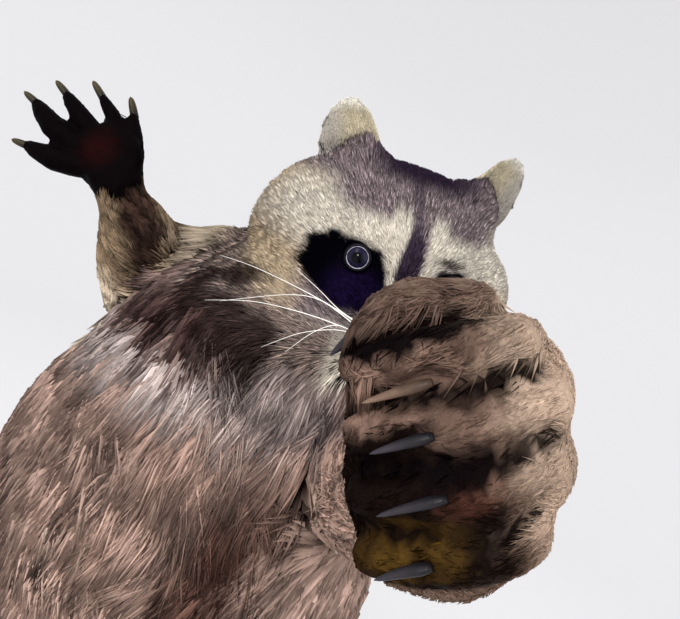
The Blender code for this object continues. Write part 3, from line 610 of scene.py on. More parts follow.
fistMarks = {  # places in the fist's own frame
    "second": ((0.0075, 0.046, -0.002), (0.0035, 0.008, 0.0055)),  # lighter skin on the finger pads
    "third": ((-0.0030, 0.046, -0.003), (0.0030, 0.008, 0.0050)),
    "pad": ((-0.0098, 0.045, -0.0150), (0.0044, 0.010, 0.0085)),
    "thumb": ((0.0265, 0.030, 0.000), (0.0060, 0.016, 0.017)),
    "underThumb": [(0.0205, -0.0170), (0.0240, -0.0165), (0.0238, 0.0080), (0.0215, 0.0080)],
    "reddish": (0.50, 0.30, 0.26),
    "streaks": (2600.0, 900.0, 240.0),
}


def fistMarkings(points):
    fist = inPlace(fistPlace, points)
    x, y, z = fist.T
    colour = np.tile(colours["fist"], (len(points), 1)) * (1 + 0.22 * wander(points, 0.012)[:, :1])
    front = ramp(y, 0.024, 0.032)
    edge = 0.0020 + 0.0018 * np.sin(x * 700)  # the dark part ends further in on some fingers
    dark = ramp(edge - z, -0.0030, 0.0035) * (1 - ramp(-x, 0.0165, 0.0205))
    colour = mixed(colour, colours["fistMid"], ramp(edge - z, -0.009, 0.001) * front * 0.8)
    colour = mixed(colour, colours["fistDark"], dark * front)
    heel = ramp(-z, -0.002, 0.004) * (1 - ramp(y, 0.030, 0.036)) * (1 - ramp(-x, 0.014, 0.019))
    colour = mixed(colour, colours["fistDark"], heel)
    # painted light: the top of the first finger's dark tip is painted lighter, where light falls on it
    first = band(x, 0.0160, 0.0055, 0.003) * front * dark
    colour = mixed(colour, colours["finger"], first * (0.75 + 0.35 * wander(points, 0.006)[:, 0]).clip(0, 1))
    colour = mixed(colour, colours["finger"], blob(fist, *fistMarks["second"], 0.5) * 0.6)
    third = blob(fist, *fistMarks["third"], 0.5) * 0.45
    colour = mixed(colour, colours["finger"] * fistMarks["reddish"], third)
    pad = blob(fist, *fistMarks["pad"], 0.5) * (0.85 + 0.5 * wander(points, 0.005)[:, 0]).clip(0, 1)
    colour = mixed(colour, colours["olive"], pad)
    streak = 0.5 + 0.5 * np.sin(fist @ np.array(fistMarks["streaks"]))
    thumbColour = layered("thumb", len(points), ("fistMid", streak * 0.6))
    colour = colour + (thumbColour - colour) * blob(fist, *fistMarks["thumb"], 0.25)[:, None]
    # painted shade: the creases between the fingers, the slits over the knuckles and the fold under the thumb
    # are painted near black
    under = insideOutline(x, z, fistMarks["underThumb"], 0.0006)
    crease = np.maximum(fistCreases(points), under * ramp(y, 0.022, 0.028))
    return mixed(colour, colours["palm"], crease * 0.95)


# Where the dark palm ends on the raised arm, in the open hand's own frame.
wristEdge = {"level": -0.0085, "slope": 2.2, "from": -0.0025}


def palmReach(points):
    x, y, z = inPlace(openPlace, points).T
    level = wristEdge["level"] + wristEdge["slope"] * np.maximum(wristEdge["from"] - x, 0)
    level += 0.3 * np.maximum(x, 0)
    return ramp(y - level, -0.0012, 0.0012) * ramp(z, -0.006, 0.002)


bodyMarks = {  # lines as the sculptor gave them
    "darkLine": [  # from the raised wrist to the chest
        (-0.120, -0.087, 0.364), (-0.108, -0.076, 0.346), (-0.084, -0.098, 0.331),
        (-0.060, -0.108, 0.335), (-0.030, -0.117, 0.328),
    ],
    "darkFold": [(-0.082, -0.092, 0.338), (-0.066, -0.092, 0.352), (-0.050, -0.102, 0.357)],  # cheek to arm
    "tailLine": [
        (-0.050, 0.105, 0.050), (-0.056, 0.160, 0.043), (-0.086, 0.218, 0.042), (-0.140, 0.252, 0.041),
        (-0.192, 0.252, 0.036), (-0.226, 0.236, 0.026), (-0.250, 0.222, 0.022),
    ],
    "ringStep": 0.058,  # from one dark ring of the tail to the next
    "tipFrom": 0.275,  # where the tail's dark tip starts, along its line
}


def trunkMarkings(place, back):  # warm below, pale across the chest, darker at shoulder and belly
    x, y, z = place.T
    pale = band(z + 0.06 * (x + 0.09), 0.3035, 0.0085, 0.013)
    pale *= (1 - 0.8 * ramp(x, -0.055, -0.015)) * (1 - ramp(y, -0.05, 0.0))
    spine = back * band(x, -0.04, 0.035, 0.05)
    return layered(
        "body", len(place),
        ("bodyLight", 0.8 * blob(place, (-0.066, -0.127, 0.205), (0.050, 0.06, 0.045), 0.7)),
        ("shoulder", ramp(z, 0.300, 0.312)),
        ("chest", 0.75 * blob(place, (-0.012, -0.120, 0.312), (0.034, 0.04, 0.018), 0.6)),
        ("chest", pale),
        ("bodyDark", 0.85 * blob(place, (-0.004, -0.125, 0.228), (0.020, 0.05, 0.040), 0.6)),
        ("bodyDark", 0.5 * blob(place, (0.030, -0.125, 0.275), (0.030, 0.05, 0.030), 0.6)),
        ("back", back), ("spine", 0.7 * spine),
    )


def markings(points, normals, belongs):
    local = inPlace(headPlace, points)
    place = points - np.array(site)
    facing = normals @ np.array(turnedTo(headTurn, (0, -1, 0)))
    x, y, z = place.T

    def on(*starts):
        return isOn(belongs, *starts)[:, None]

    def plain(name):
        return np.tile(colours[name], (len(points), 1))

    back = ramp(y, -0.02, 0.06)
    patches = 1 + 0.17 * wander(points, 0.045)[:, :1] + 0.20 * wander(points, 0.014)[:, :1]
    result = trunkMarkings(place, back) * patches
    # arms: grey-brown, dark along the inside of the raised one
    paleArm = np.maximum(ramp(x, -0.112, -0.096) * ramp(z, 0.345, 0.360), ramp(-z, -0.325, -0.305))
    arm = mixed(plain("armCream"), colours["armPale"], paleArm)
    arm = mixed(arm, colours["back"], ramp(y, -0.01, 0.02))
    leftArm = mixed(plain("leg"), colours["body"], ramp(-y, 0.05, 0.10) * 0.6)
    arm = np.where(on("upper_arm_left", "forearm_left"), leftArm, arm)
    result = np.where(on("upper_arm", "forearm"), arm * patches, result)
    # legs and feet
    result = np.where(on("thigh"), mixed(plain("leg"), colours["back"], back), result)
    result = np.where(on("shank"), plain("leg") * 0.8, result)
    sole = ramp(-normals[:, 2], 0.2, 0.7)
    result = np.where(on("foot"), mixed(plain("foot"), colours["palm"], sole), result)
    # tail: dark rings and a dark tip
    _, along = lineAway(place, bodyMarks["tailLine"])
    ring = ramp(np.sin(along * 2 * math.pi / bodyMarks["ringStep"] + 0.6), 0.0, 0.35)
    ring = np.maximum(ring, ramp(along, bodyMarks["tipFrom"], bodyMarks["tipFrom"] + 0.01))
    result = np.where(on("tail"), mixed(plain("tailLight"), colours["tailDark"], ring), result)
    # hands
    red = blob(inPlace(openPlace, points), (0.004, 0.026, 0.008), (0.010, 0.009, 0.02), 0.7)
    palm = mixed(plain("palm"), colours["palmRed"], red * 0.8)
    result = np.where(on("hand_right", "finger_right"), palm, result)
    fist = isOn(belongs, "hand_left", "finger_left")
    result[fist] = fistMarkings(points[fist])
    # head, then the dark band of fur from the raised wrist to the chest
    result = np.where(on("head"), faceMarkings(local), result)
    uneven = 0.0045 * wander(points, 0.012)[:, 0]
    dark = 1 - ramp(lineAway(place, bodyMarks["darkLine"])[0] + uneven, 0.007, 0.019)
    fold = 1 - ramp(lineAway(place, bodyMarks["darkFold"])[0] + uneven, 0.004, 0.013)
    banded = mixed(result, colours["armDark"], np.maximum(dark, fold) * 0.88)
    result = np.where(on("head", "neck", "trunk", "upper_arm_right", "forearm_right"), banded, result)
    onWrist = on("forearm_right") * palmReach(points)[:, None]
    result = result + (colours["palm"] - result) * onWrist
    return np.where(on("ear"), earMarkings(local, facing), result)


# The skin, inside the solids by the coat's depth.
skinCare = {
    "kept": 0.30,  # share of the sculpt's triangles
    "keepLevels": 20,  # steps of the weight that says where fewer are kept
    "shadeUnderFace": 0.8,  # how dark the skin is painted under the coat, against the coat, as shade in the gaps between tufts
    "shadeUnderBody": 0.42,
}
skinPoints = outer - outerNormals * depth[:, None]
still = firm | (isHead & (eyeAway < 0.03))
skinPoints = spread(skinPoints, edges, 6, spread(np.where(still, 0.0, 0.5), edges, 4))
setPoints(fused, skinPoints)
corners = cornersOf(fused)
skin = putIn("raccoon_skin", fused.data.copy())
keep = skin.vertex_groups.new(name="keep")
weight = np.where(firm, 0.0, np.where(isHead & (headY < 0.03), 0.15, 1.0))
weight = np.round(spread(weight, edges, 4) * skinCare["keepLevels"])
for level in range(skinCare["keepLevels"] + 1):
    chosen = np.nonzero(weight == level)[0]
    if len(chosen):
        keep.add(chosen.tolist(), level / skinCare["keepLevels"], "REPLACE")
withModifier(skin, "DECIMATE", ratio=skinCare["kept"], vertex_group="keep", vertex_group_factor=1.0)
skin.vertex_groups.clear()
nearest = treeOf(skinPoints, corners)
skinFace = np.array([nearest.find_nearest(point)[2] for point in pointsOf(skin)])
skinOwner = owner[corners[skinFace, 0]]
skinColour = markings(outer[corners[skinFace, 0]], normalsOf(skin), skinOwner)
# painted shade: the skin under the coat is darker than the coat, as shade between the tufts; bare hands keep
# their colour
under = np.where(isOn(skinOwner, "head", "ear"), skinCare["shadeUnderFace"], skinCare["shadeUnderBody"])
under = np.where(isOn(skinOwner, "hand", "finger"), 1.0, under)
setColours(skin, "mark", skinColour * under[:, None])
print("skin:", len(cornersOf(skin)), "triangles")


# Materials.
def nodeGroup(name, inputs, outputs):
    group = bpy.data.node_groups.new(name, "ShaderNodeTree")
    for label, value in inputs:
        kind = "NodeSocketFloat" if isinstance(value, float) else "NodeSocketColor"
        group.interface.new_socket(label, in_out="INPUT", socket_type=kind).default_value = value
    for label, kind in outputs:
        group.interface.new_socket(label, in_out="OUTPUT", socket_type=kind)
    return group, group.nodes.new("NodeGroupInput"), group.nodes.new("NodeGroupOutput")


def makeMottle():  # colour that varies in soft patches and fine grain, with a height to match
    group, start, end = nodeGroup(
        "mottle",
        [("Colour", (0.5, 0.5, 0.5, 1)), ("Patch", 60.0), ("Grain", 900.0), ("Amount", 0.25)],
        [("Colour", "NodeSocketColor"), ("Height", "NodeSocketFloat")],
    )
    place = group.nodes.new("ShaderNodeTexCoord")
    patch, grain = group.nodes.new("ShaderNodeTexNoise"), group.nodes.new("ShaderNodeTexNoise")
    both, centred, scaled = (group.nodes.new("ShaderNodeMath") for _ in range(3))
    tone = group.nodes.new("ShaderNodeVectorMath")
    patch.inputs["Detail"].default_value = grain.inputs["Detail"].default_value = 3
    both.operation, centred.operation, scaled.operation = "ADD", "SUBTRACT", "MULTIPLY_ADD"
    tone.operation = "SCALE"
    centred.inputs[1].default_value = scaled.inputs[2].default_value = 1.0
    for source, target in (
        (place.outputs["Object"], patch.inputs["Vector"]),
        (place.outputs["Object"], grain.inputs["Vector"]),
        (start.outputs["Patch"], patch.inputs["Scale"]),
        (start.outputs["Grain"], grain.inputs["Scale"]),
        (patch.outputs["Fac"], both.inputs[0]),
        (grain.outputs["Fac"], both.inputs[1]),
        (both.outputs[0], centred.inputs[0]),
        (centred.outputs[0], scaled.inputs[0]),
        (start.outputs["Amount"], scaled.inputs[1]),
        (start.outputs["Colour"], tone.inputs[0]),
        (scaled.outputs[0], tone.inputs["Scale"]),
        (tone.outputs[0], end.inputs["Colour"]),
        (both.outputs[0], end.inputs["Height"]),
    ):
        group.links.new(source, target)
    return group


mottle = makeMottle()
bumpDepth = 0.0005


def makeMaterial(name, colour=None, attribute=None, patch=60.0, grain=900.0, amount=0.25, bump=0.0,
                 **settings):
    made = bpy.data.materials.new(name)
    made.use_nodes = True
    tree = made.node_tree
    shader = tree.nodes["Principled BSDF"]
    group = tree.nodes.new("ShaderNodeGroup")
    group.node_tree = mottle
    for socket, value in (("Patch", patch), ("Grain", grain), ("Amount", amount)):
        group.inputs[socket].default_value = value
    if attribute:
        source = tree.nodes.new("ShaderNodeAttribute")
        source.attribute_name = attribute
        tree.links.new(source.outputs["Color"], group.inputs["Colour"])
    else:
        group.inputs["Colour"].default_value = (*colour, 1)
    tree.links.new(group.outputs["Colour"], shader.inputs["Base Color"])
    if bump:
        relief = tree.nodes.new("ShaderNodeBump")
        relief.inputs["Strength"].default_value = bump
        relief.inputs["Distance"].default_value = bumpDepth
        tree.links.new(group.outputs["Height"], relief.inputs["Height"])
        tree.links.new(relief.outputs["Normal"], shader.inputs["Normal"])
    for socket, value in settings.items():
        shader.inputs[socket.replace("_", " ")].default_value = value
    return made


materials = {
    "skin": makeMaterial("bareSkin", attribute="mark", patch=180.0, grain=1500.0, amount=0.8, bump=0.7,
                         Roughness=0.60, Specular_IOR_Level=0.02),
    "fur": makeMaterial("furHair", attribute="mark", patch=45.0, grain=500.0, amount=0.35,
                        Roughness=0.65, Specular_IOR_Level=0.01),
    "horn": makeMaterial("clawHorn", attribute="mark", patch=120.0, grain=700.0, amount=0.7, bump=0.25,
                         Roughness=0.42, Specular_IOR_Level=0.16),
    "nose": makeMaterial("noseLeather", colour=paint(22, 18, 20), patch=300.0, grain=1500.0, amount=0.5,
                         bump=0.9, Roughness=0.36),
    "whisker": makeMaterial("whiskerHair", colour=paint(240, 236, 228), grain=300.0, amount=0.1,
                            Roughness=0.4),
    "lid": makeMaterial("lidSkin", colour=paint(5, 3, 8), patch=300.0, grain=1800.0, amount=0.4, bump=0.5,
                        Roughness=0.5, Specular_IOR_Level=0.12),
    # the tear line's pale grey is a painted reflection of light on the wet rim of the eye
    "tear": makeMaterial("tearLine", colour=paint(150, 148, 158), patch=400.0, grain=1500.0, amount=0.5,
                         Roughness=0.18),
    "eye": makeMaterial("eyeBall", attribute="mark", patch=500.0, grain=2500.0, amount=0.4,
                        Roughness=0.02, Specular_IOR_Level=0.12),
}


def finishPiece(thing, material, slotName, *replaced):
    thing.data.materials.clear()
    thing.data.materials.append(materials[material])
    smoothShaded(thing)
    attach(thing, "root")
    if replaced:
        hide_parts(*replaced)


finishPiece(skin, "skin", "fur", *fleshNames)


# The coat. Bare places: palms, soles, the eyes' sockets, the nose.
bareShare = np.zeros(len(outer))
rightHand = ownedBy("hand_right", "finger_right")
palmFacing = outerNormals @ np.array(turnedTo(openPlace, (0, 0, 1)))
bareShare[rightHand] = 1 - 0.5 * ramp(-palmFacing, 0.1, 0.5)[rightHand]
tipDark = 0.75 * ramp(-fistLocal[:, 2], -0.004, 0.002) * ~ownedBy("finger_left_1")
bareShare[leftHand] = np.maximum(tipDark, pressed)[leftHand]
onForearm = ownedBy("forearm_right")
bareShare[onForearm] = palmReach(outer[onForearm])
bareShare[isFoot & (outerNormals[:, 2] < -0.3)] = 1
bareShare[isHead & ((eyeAway < 0.0098) | (noseAway < 0.0095))] = 1
tuftCount = count * (1 - bareShare)

lockKeys = (
    "width", "lock", "pull", "wave", "stray", "hairTone", "lockTone", "rootTone", "tipTone", "grizzle",
)
lockTable = {  # how the locks of each kind of coat lie and shade
    "face": (0.72, 0.0022, 0.15, 0.14, 0.12, 0.22, 0.05, 0.55, 1.10, 1.0),
    "skull": (0.75, 0.0035, 0.30, 0.20, 0.12, 0.16, 0.06, 0.50, 1.12, 0.8),
    "ear": (0.70, 0.0020, 0.10, 0.12, 0.12, 0.10, 0.03, 0.85, 1.06, 0.0),
    "long": (0.46, 0.0070, 0.60, 0.85, 0.17, 0.19, 0.28, 0.16, 1.42, 0.0),
    "arm": (0.62, 0.0050, 0.60, 0.85, 0.17, 0.19, 0.28, 0.16, 1.42, 0.0),
    "plain": (0.70, 0.0085, 0.50, 0.55, 0.16, 0.18, 0.20, 0.25, 1.30, 0.2),
    "fist": (0.95, 0.0014, 0.15, 0.30, 0.20, 0.14, 0.06, 0.82, 1.08, 0.0),
}
coatKinds = {name: dict(zip(lockKeys, values)) for name, values in lockTable.items()}
faceHalf, skull = isHead & (headY < 0.022), isHead & (headY >= 0.022)
chestSplit = -0.045
pieceTable = {  # where each piece of coat grows, its kind and its number of tufts
    "coat_face_right": (faceHalf & (headX < 0), "face", 27000),
    "coat_face_left": (faceHalf & (headX >= 0), "face", 24000),
    "coat_head_right": (skull & (headX < 0), "skull", 22000),
    "coat_head_left": (skull & (headX >= 0), "skull", 17000),
    "coat_ears": (isEar, "ear", 13000),
    "coat_neck": (ownedBy("neck"), "long", 16000),
    "coat_chest_right": (frontTrunk & (away[:, 0] < chestSplit), "long", 49000),
    "coat_chest_left": (frontTrunk & (away[:, 0] >= chestSplit), "long", 37000),
    "coat_back": (onTrunk & ~frontTrunk, "plain", 28000),
    "coat_arm_right": (rightHand | ownedBy("upper_arm_right", "forearm_right"), "arm", 36000),
    "coat_arm_left": (ownedBy("upper_arm_left", "forearm_left"), "long", 27000),
    "coat_hand_left": (leftHand, "fist", 26000),
    "coat_leg_right": (ownedBy("thigh_right", "shank_right", "foot_right"), "plain", 17000),
    "coat_leg_left": (ownedBy("thigh_left", "shank_left", "foot_left"), "plain", 17000),
    "coat_tail": (ownedBy("tail"), "plain", 15000),
}
tuft = {  # what all tufts share: lengths in metres, the rest shares
    "faces": ((0, 2, 1), (1, 2, 3), (0, 1, 3), (0, 3, 2)),
    "steps": (0.0, 0.5, 0.5, 1.0),  # how far along it its four points stand
    "across": (0.0, -0.5, 0.5, 0.0),
    "rooted": 0.0004,  # how far the root goes into the skin
    "floor": 0.0012,  # nothing hangs lower
    "uneven": (0.70, 0.6),  # least length or width, and how much more it may be
    "clear": 0.0001,  # the tip stays this far inside the solids
    "patch": 0.003,  # its size on the bake map
}
a, b, c = (outer[corners[:, k]] for k in range(3))
outerArea = 0.5 * np.linalg.norm(np.cross(b - a, c - a), axis=1)
outerTree = treeOf(outer, corners)


def blades(roots, middles, tips, sides, widths):  # bent leaf-shaped tufts, each closed by a keel
    centre = roots * 0.25 + middles * 0.5 + tips * 0.25
    across = sides * (widths * 0.5)[:, None]
    points = np.stack([roots, centre - across, centre + across, tips], 1)
    faces = np.array(tuft["faces"])[None] + (np.arange(len(roots)) * 4)[:, None, None]
    return points.reshape(-1, 3), faces.reshape(-1, 3)


# A light copy of the skin, flattened piece by piece, gives each tuft its patch on the bake map.
flatCare = {"kept": 0.04, "steepest": 66, "margin": 0.006}
light = putIn("light", fused.data.copy())
withModifier(light, "DECIMATE", ratio=flatCare["kept"])
lightPoints, lightCorners = pointsOf(light), cornersOf(light)
lightMiddle = lightPoints[lightCorners].mean(1)
lightFace = np.array([nearest.find_nearest(point)[2] for point in lightMiddle])
bpy.data.objects.remove(light)


def unwrapped(chosen):  # faces of the light skin under one piece of coat, with their places on a flat map
    faces = lightCorners[chosen[corners[lightFace, 0]]]
    used, back = np.unique(faces, return_inverse=True)
    points, faces = lightPoints[used], back.reshape(-1, 3)
    flat = addMesh("flat", points, faces)
    selectOnly(flat)
    bpy.ops.object.mode_set(mode="EDIT")
    bpy.ops.mesh.select_all(action="SELECT")
    bpy.ops.uv.smart_project(
        angle_limit=math.radians(flatCare["steepest"]), island_margin=flatCare["margin"]
    )
    bpy.ops.object.mode_set(mode="OBJECT")
    spots = readRows(flat.data.uv_layers.active.data, "uv", 2).reshape(-1, 3, 2).astype(float)
    bpy.data.objects.remove(flat)
    return treeOf(points, faces), points[faces], spots


def mapSpots(roots, chosen):
    tree, triangles, spots = unwrapped(chosen)
    found = [tree.find_nearest(root) for root in roots]
    place, face = np.array([hit[0] for hit in found]), np.array([hit[2] for hit in found])
    a, b, c = (triangles[face, k] for k in range(3))
    ab, ac, ap = b - a, c - a, place - a
    d00, d01, d11 = (ab * ab).sum(1), (ab * ac).sum(1), (ac * ac).sum(1)
    d20, d21 = (ap * ab).sum(1), (ap * ac).sum(1)
    size = np.maximum(d00 * d11 - d01 * d01, 1e-18)
    v, w = (d11 * d20 - d01 * d21) / size, (d00 * d21 - d01 * d20) / size
    share = np.clip(np.stack([1 - v - w, v, w], 1), 0, 1)
    share /= share.sum(1, keepdims=True)
    return (spots[face] * share[:, :, None]).sum(1)


def inLocks(cells):  # numbers the tufts by lock, and counts the locks
    _, lock = np.unique(cells, axis=0, return_inverse=True)
    return lock.ravel(), lock.max() + 1


coatTriangles = 0
for name, (chosen, kindName, total) in pieceTable.items():
    kind = coatKinds[kindName]
    own = corners[chosen[corners[:, 0]]]
    amount = outerArea[chosen[corners[:, 0]]] * tuftCount[own].mean(1)
    spots = (np.arange(total) + rng.random(total)) / total * amount.sum()
    face = np.searchsorted(np.cumsum(amount), spots).clip(0, len(own) - 1)
    r1, r2 = np.sqrt(rng.random(total)), rng.random(total)
    share = np.stack([1 - r1, r1 * (1 - r2), r1 * r2], 1)
    pick = own[face]

    def at(field):
        return (field[pick] * (share if field.ndim == 1 else share[:, :, None])).sum(1)

    surface, normal, flow = at(outer), unit(at(outerNormals)), unit(at(lieField))
    deep, reach, wide = at(depth), at(length), at(width) * kind["width"]
    root = at(skinPoints) - normal * tuft["rooted"]
    # tufts that start close together lean and end together, in locks
    size = kind["lock"]
    lock, locks = inLocks(np.floor((surface + wander(surface, 0.02) * size * 0.4) / size).astype(int))
    lockLean, lockRise, lockTone = rng.normal(size=(locks, 3)), rng.random(locks), rng.normal(size=locks)
    wave, stray = kind["wave"], kind["stray"]
    drift = wander(surface, 0.05) * wave * 0.5 + wander(surface, 0.016) * wave * 0.35
    drift += lockLean[lock] * stray + rng.normal(size=(total, 3)) * stray * 0.8
    flow = unit(flow + drift - normal * (drift * normal).sum(1)[:, None])
    least, more = tuft["uneven"]
    reach = reach * (least + more * rng.random(total))
    wide = wide * (least + more * rng.random(total))
    rise = 0.5 * lockRise[lock] + 0.5 * rng.random(total)
    sunk = 0.02 + 0.75 * rise**1.8  # how far the tip lies below the coat's surface, as a share of its depth
    guess = surface + flow * reach[:, None]
    members = np.bincount(lock, minlength=locks)[:, None]
    middle = np.stack([np.bincount(lock, guess[:, k], locks) for k in range(3)], 1) / members
    guess += (middle[lock] - guess) * (kind["pull"] * (0.5 + 0.5 * rng.random(total)))[:, None]
    found = [outerTree.find_nearest(place) for place in guess]
    spot, outwards = np.array([hit[0] for hit in found]), np.array([hit[1] for hit in found])
    tips = spot - outwards * (deep * sunk + tuft["clear"])[:, None]
    bend = root + normal * (deep * (1.15 - 0.7 * sunk))[:, None] + flow * (reach * 0.36)[:, None]
    bend += rng.normal(size=(total, 3)) * (reach * stray * 0.3)[:, None]
    for places in (root, bend, tips):
        places[:, 2] = np.maximum(places[:, 2], tuft["floor"])
    sides = unit(np.cross(flow, normal) + rng.normal(size=(total, 3)) * 0.15)
    points, faces = blades(root, bend, tips, sides, wide)
    made = addMesh(name, points, faces)

    base = markings(surface + flow * (reach * 0.30)[:, None], normal, owner[pick[:, 0]])
    bright = base.mean(1)
    tone = 1.16 - 0.62 * sunk + kind["hairTone"] * rng.normal(size=total) + kind["lockTone"] * lockTone[lock]

    def chance(odds, factor):  # some tufts are that much darker or lighter
        return np.where(rng.random(total) < odds, factor, 1.0)

    tone *= chance(0.08, 0.55) * chance(0.06, 1.35)
    # pale locks lie over the dark fur
    paleLock = (rng.random(locks) < 0.30)[lock] & (kindName in ("long", "arm"))
    tone *= 1 + (0.9 if kindName == "arm" else 1.9) * paleLock * band(bright, 0.0, 0.035, 0.03)
    grizzle = 0.30 * kind["grizzle"] * band(bright, 0.17, 0.12, 0.08)
    tone *= chance(grizzle, 2.0) * chance(grizzle, 0.35)
    halfTone = (kind["rootTone"] + kind["tipTone"]) * 0.52
    shade = np.interp(tuft["steps"], [0, 0.5, 1], [kind["rootTone"], halfTone, kind["tipTone"]])
    colour = (base * np.clip(tone, 0.25, 3.2)[:, None])[:, None, :] * shade[None, :, None]
    colour *= 1 / (1 + 0.22 * colour.mean(2, keepdims=True))
    setColours(made, "mark", colour.reshape(-1, 3))

    patch = np.stack([tuft["across"], np.array(tuft["steps"]) - 0.5], 1) * tuft["patch"]
    flatSpots = (mapSpots(root, chosen)[:, None, :] + patch[None]).reshape(-1, 2)
    bakeMap = made.data.uv_layers.new(name="OFBake")
    bakeMap.data.foreach_set("uv", flatSpots[faces.ravel()].astype(np.float32).ravel())
    finishPiece(made, "fur", "fur")
    coatTriangles += len(faces)
    print(name, total, "tufts", len(faces), "triangles")
print("coat:", coatTriangles, "triangles")
bpy.data.objects.remove(fused)


# Swept shapes for claws, whiskers and lids.
def swept(name, path, halfWidths, halfHeights, up, sides=14, closedLoop=False):
    path, count = np.asarray(path, float), len(path)
    ahead = np.roll(path, -1, 0) - np.roll(path, 1, 0) if closedLoop else np.gradient(path, axis=0)
    ahead = unit(ahead)
    across = unit(np.cross(ahead, np.broadcast_to(up, path.shape)))
    ups = np.cross(across, ahead)
    angle = np.arange(sides) / sides * 2 * math.pi
    ring = np.cos(angle)[None, :, None] * across[:, None] * np.asarray(halfWidths)[:, None, None]
    ring = ring + np.sin(angle)[None, :, None] * ups[:, None] * np.asarray(halfHeights)[:, None, None]
    points = (path[:, None] + ring).reshape(-1, 3)
    after = [(k + 1) % sides for k in range(sides)]
    faces = []
    for i in range(count if closedLoop else count - 1):
        a, b = i * sides, (i + 1) % count * sides
        for k, n in enumerate(after):
            faces += [(a + k, a + n, b + n), (a + k, b + n, b + k)]
    if not closedLoop:
        points = np.concatenate([points, path[:1], path[-1:]])
        start, end, last = len(points) - 2, len(points) - 1, (count - 1) * sides
        for k, n in enumerate(after):
            faces += [(start, n, k), (end, last + k, last + n)]
    made = addMesh(name, points, np.array(faces))
    selectOnly(made)
    bpy.ops.object.mode_set(mode="EDIT")
    bpy.ops.mesh.select_all(action="SELECT")
    bpy.ops.mesh.normals_make_consistent(inside=False)
    bpy.ops.object.mode_set(mode="OBJECT")
    return made


def joinAll(name, things):
    bpy.ops.object.select_all(action="DESELECT")
    for thing in things:
        thing.select_set(True)
    bpy.context.view_layer.objects.active = things[0]
    bpy.ops.object.join()
    things[0].name = name
    return things[0]


# Claws: half a width, colours at root and tip, bow, taper, and the share left out at the root.
hornKeys = ("thick", "root", "tip", "bow", "taper", "from")
hornKinds = {
    "first": (0.0013, (40, 28, 22), (112, 90, 76), 0.0004, 1.7, 0.16),
    "left": (0.0013, (3, 2, 2), (50, 46, 52), 0.0004, 1.7, 0.16),
    "right": (0.0029, (8, 4, 4), (66, 58, 36), 0.0002, 5.0, 0.0),
    "foot": (0.0020, (60, 48, 40), (120, 104, 86), 0.0012, 1.7, 0.0),
}
claws = {name: dict(zip(hornKeys, values)) for name, values in hornKinds.items()}
clawCare = {
    "steps": 13, "rootIn": 0.0004, "tipIn": 0.0002,  # how far the ends stay inside the CAD claw
    "narrow": 0.80, "thinner": 0.18, "fistSink": 0.0045,
    "up": {
        "left": -np.array(turnedTo(fistPlace, (0, 1, 0))),
        "right": -np.array(turnedTo(openPlace, (0, 0, 1))),
        "foot": np.array([0, 0, 1.0]),
    },
}
for name in [name for name in nodes if name.startswith("claw")]:
    limb, *rest = name.split("_")[1:]
    kind = claws["first" if name == "claw_left_2" else limb]
    home = np.array(nodeCentre(f"foot_{rest[0]}" if limb == "foot" else f"finger_{limb}_{rest[0]}"))
    points = pointsOf(nodes[name])
    centre = points.mean(0)
    axis = np.linalg.svd(points - centre, full_matrices=False)[2][0]
    if (centre - home) @ axis < 0:
        axis = -axis
    reach = (points - centre) @ axis
    start = centre + axis * (reach.min() + clawCare["rootIn"])
    end = centre + axis * (reach.max() - clawCare["tipIn"])
    up = clawCare["up"][limb]
    t = np.linspace(0, 1, clawCare["steps"])
    path = start + (end - start) * t[:, None] + up * (np.sin(t * math.pi) * kind["bow"])[:, None]
    path = start + (path - start) * (1 - kind["from"]) + (end - start) * kind["from"]
    path -= up * (clawCare["fistSink"] * kind["from"])
    size = kind["thick"] * np.sqrt(np.maximum(1 - t ** kind["taper"], 0.004)) * (1 - clawCare["thinner"] * t)
    if kind["from"]:  # the root swells out of the finger
        size *= 0.60 + 0.40 * np.sin(np.minimum(t * 4, 1) * math.pi / 2)
    claw = swept("horn_" + name[5:], path, size * clawCare["narrow"], size, up)
    share = np.clip((pointsOf(claw) - start) @ (end - start) / ((end - start) @ (end - start)), 0, 1)
    colour = mixed(np.tile(paint(*kind["root"]), (len(share), 1)), paint(*kind["tip"]), share)
    setColours(claw, "mark", colour)
    finishPiece(claw, "horn", "claw_horn", name)
print("claws ready")
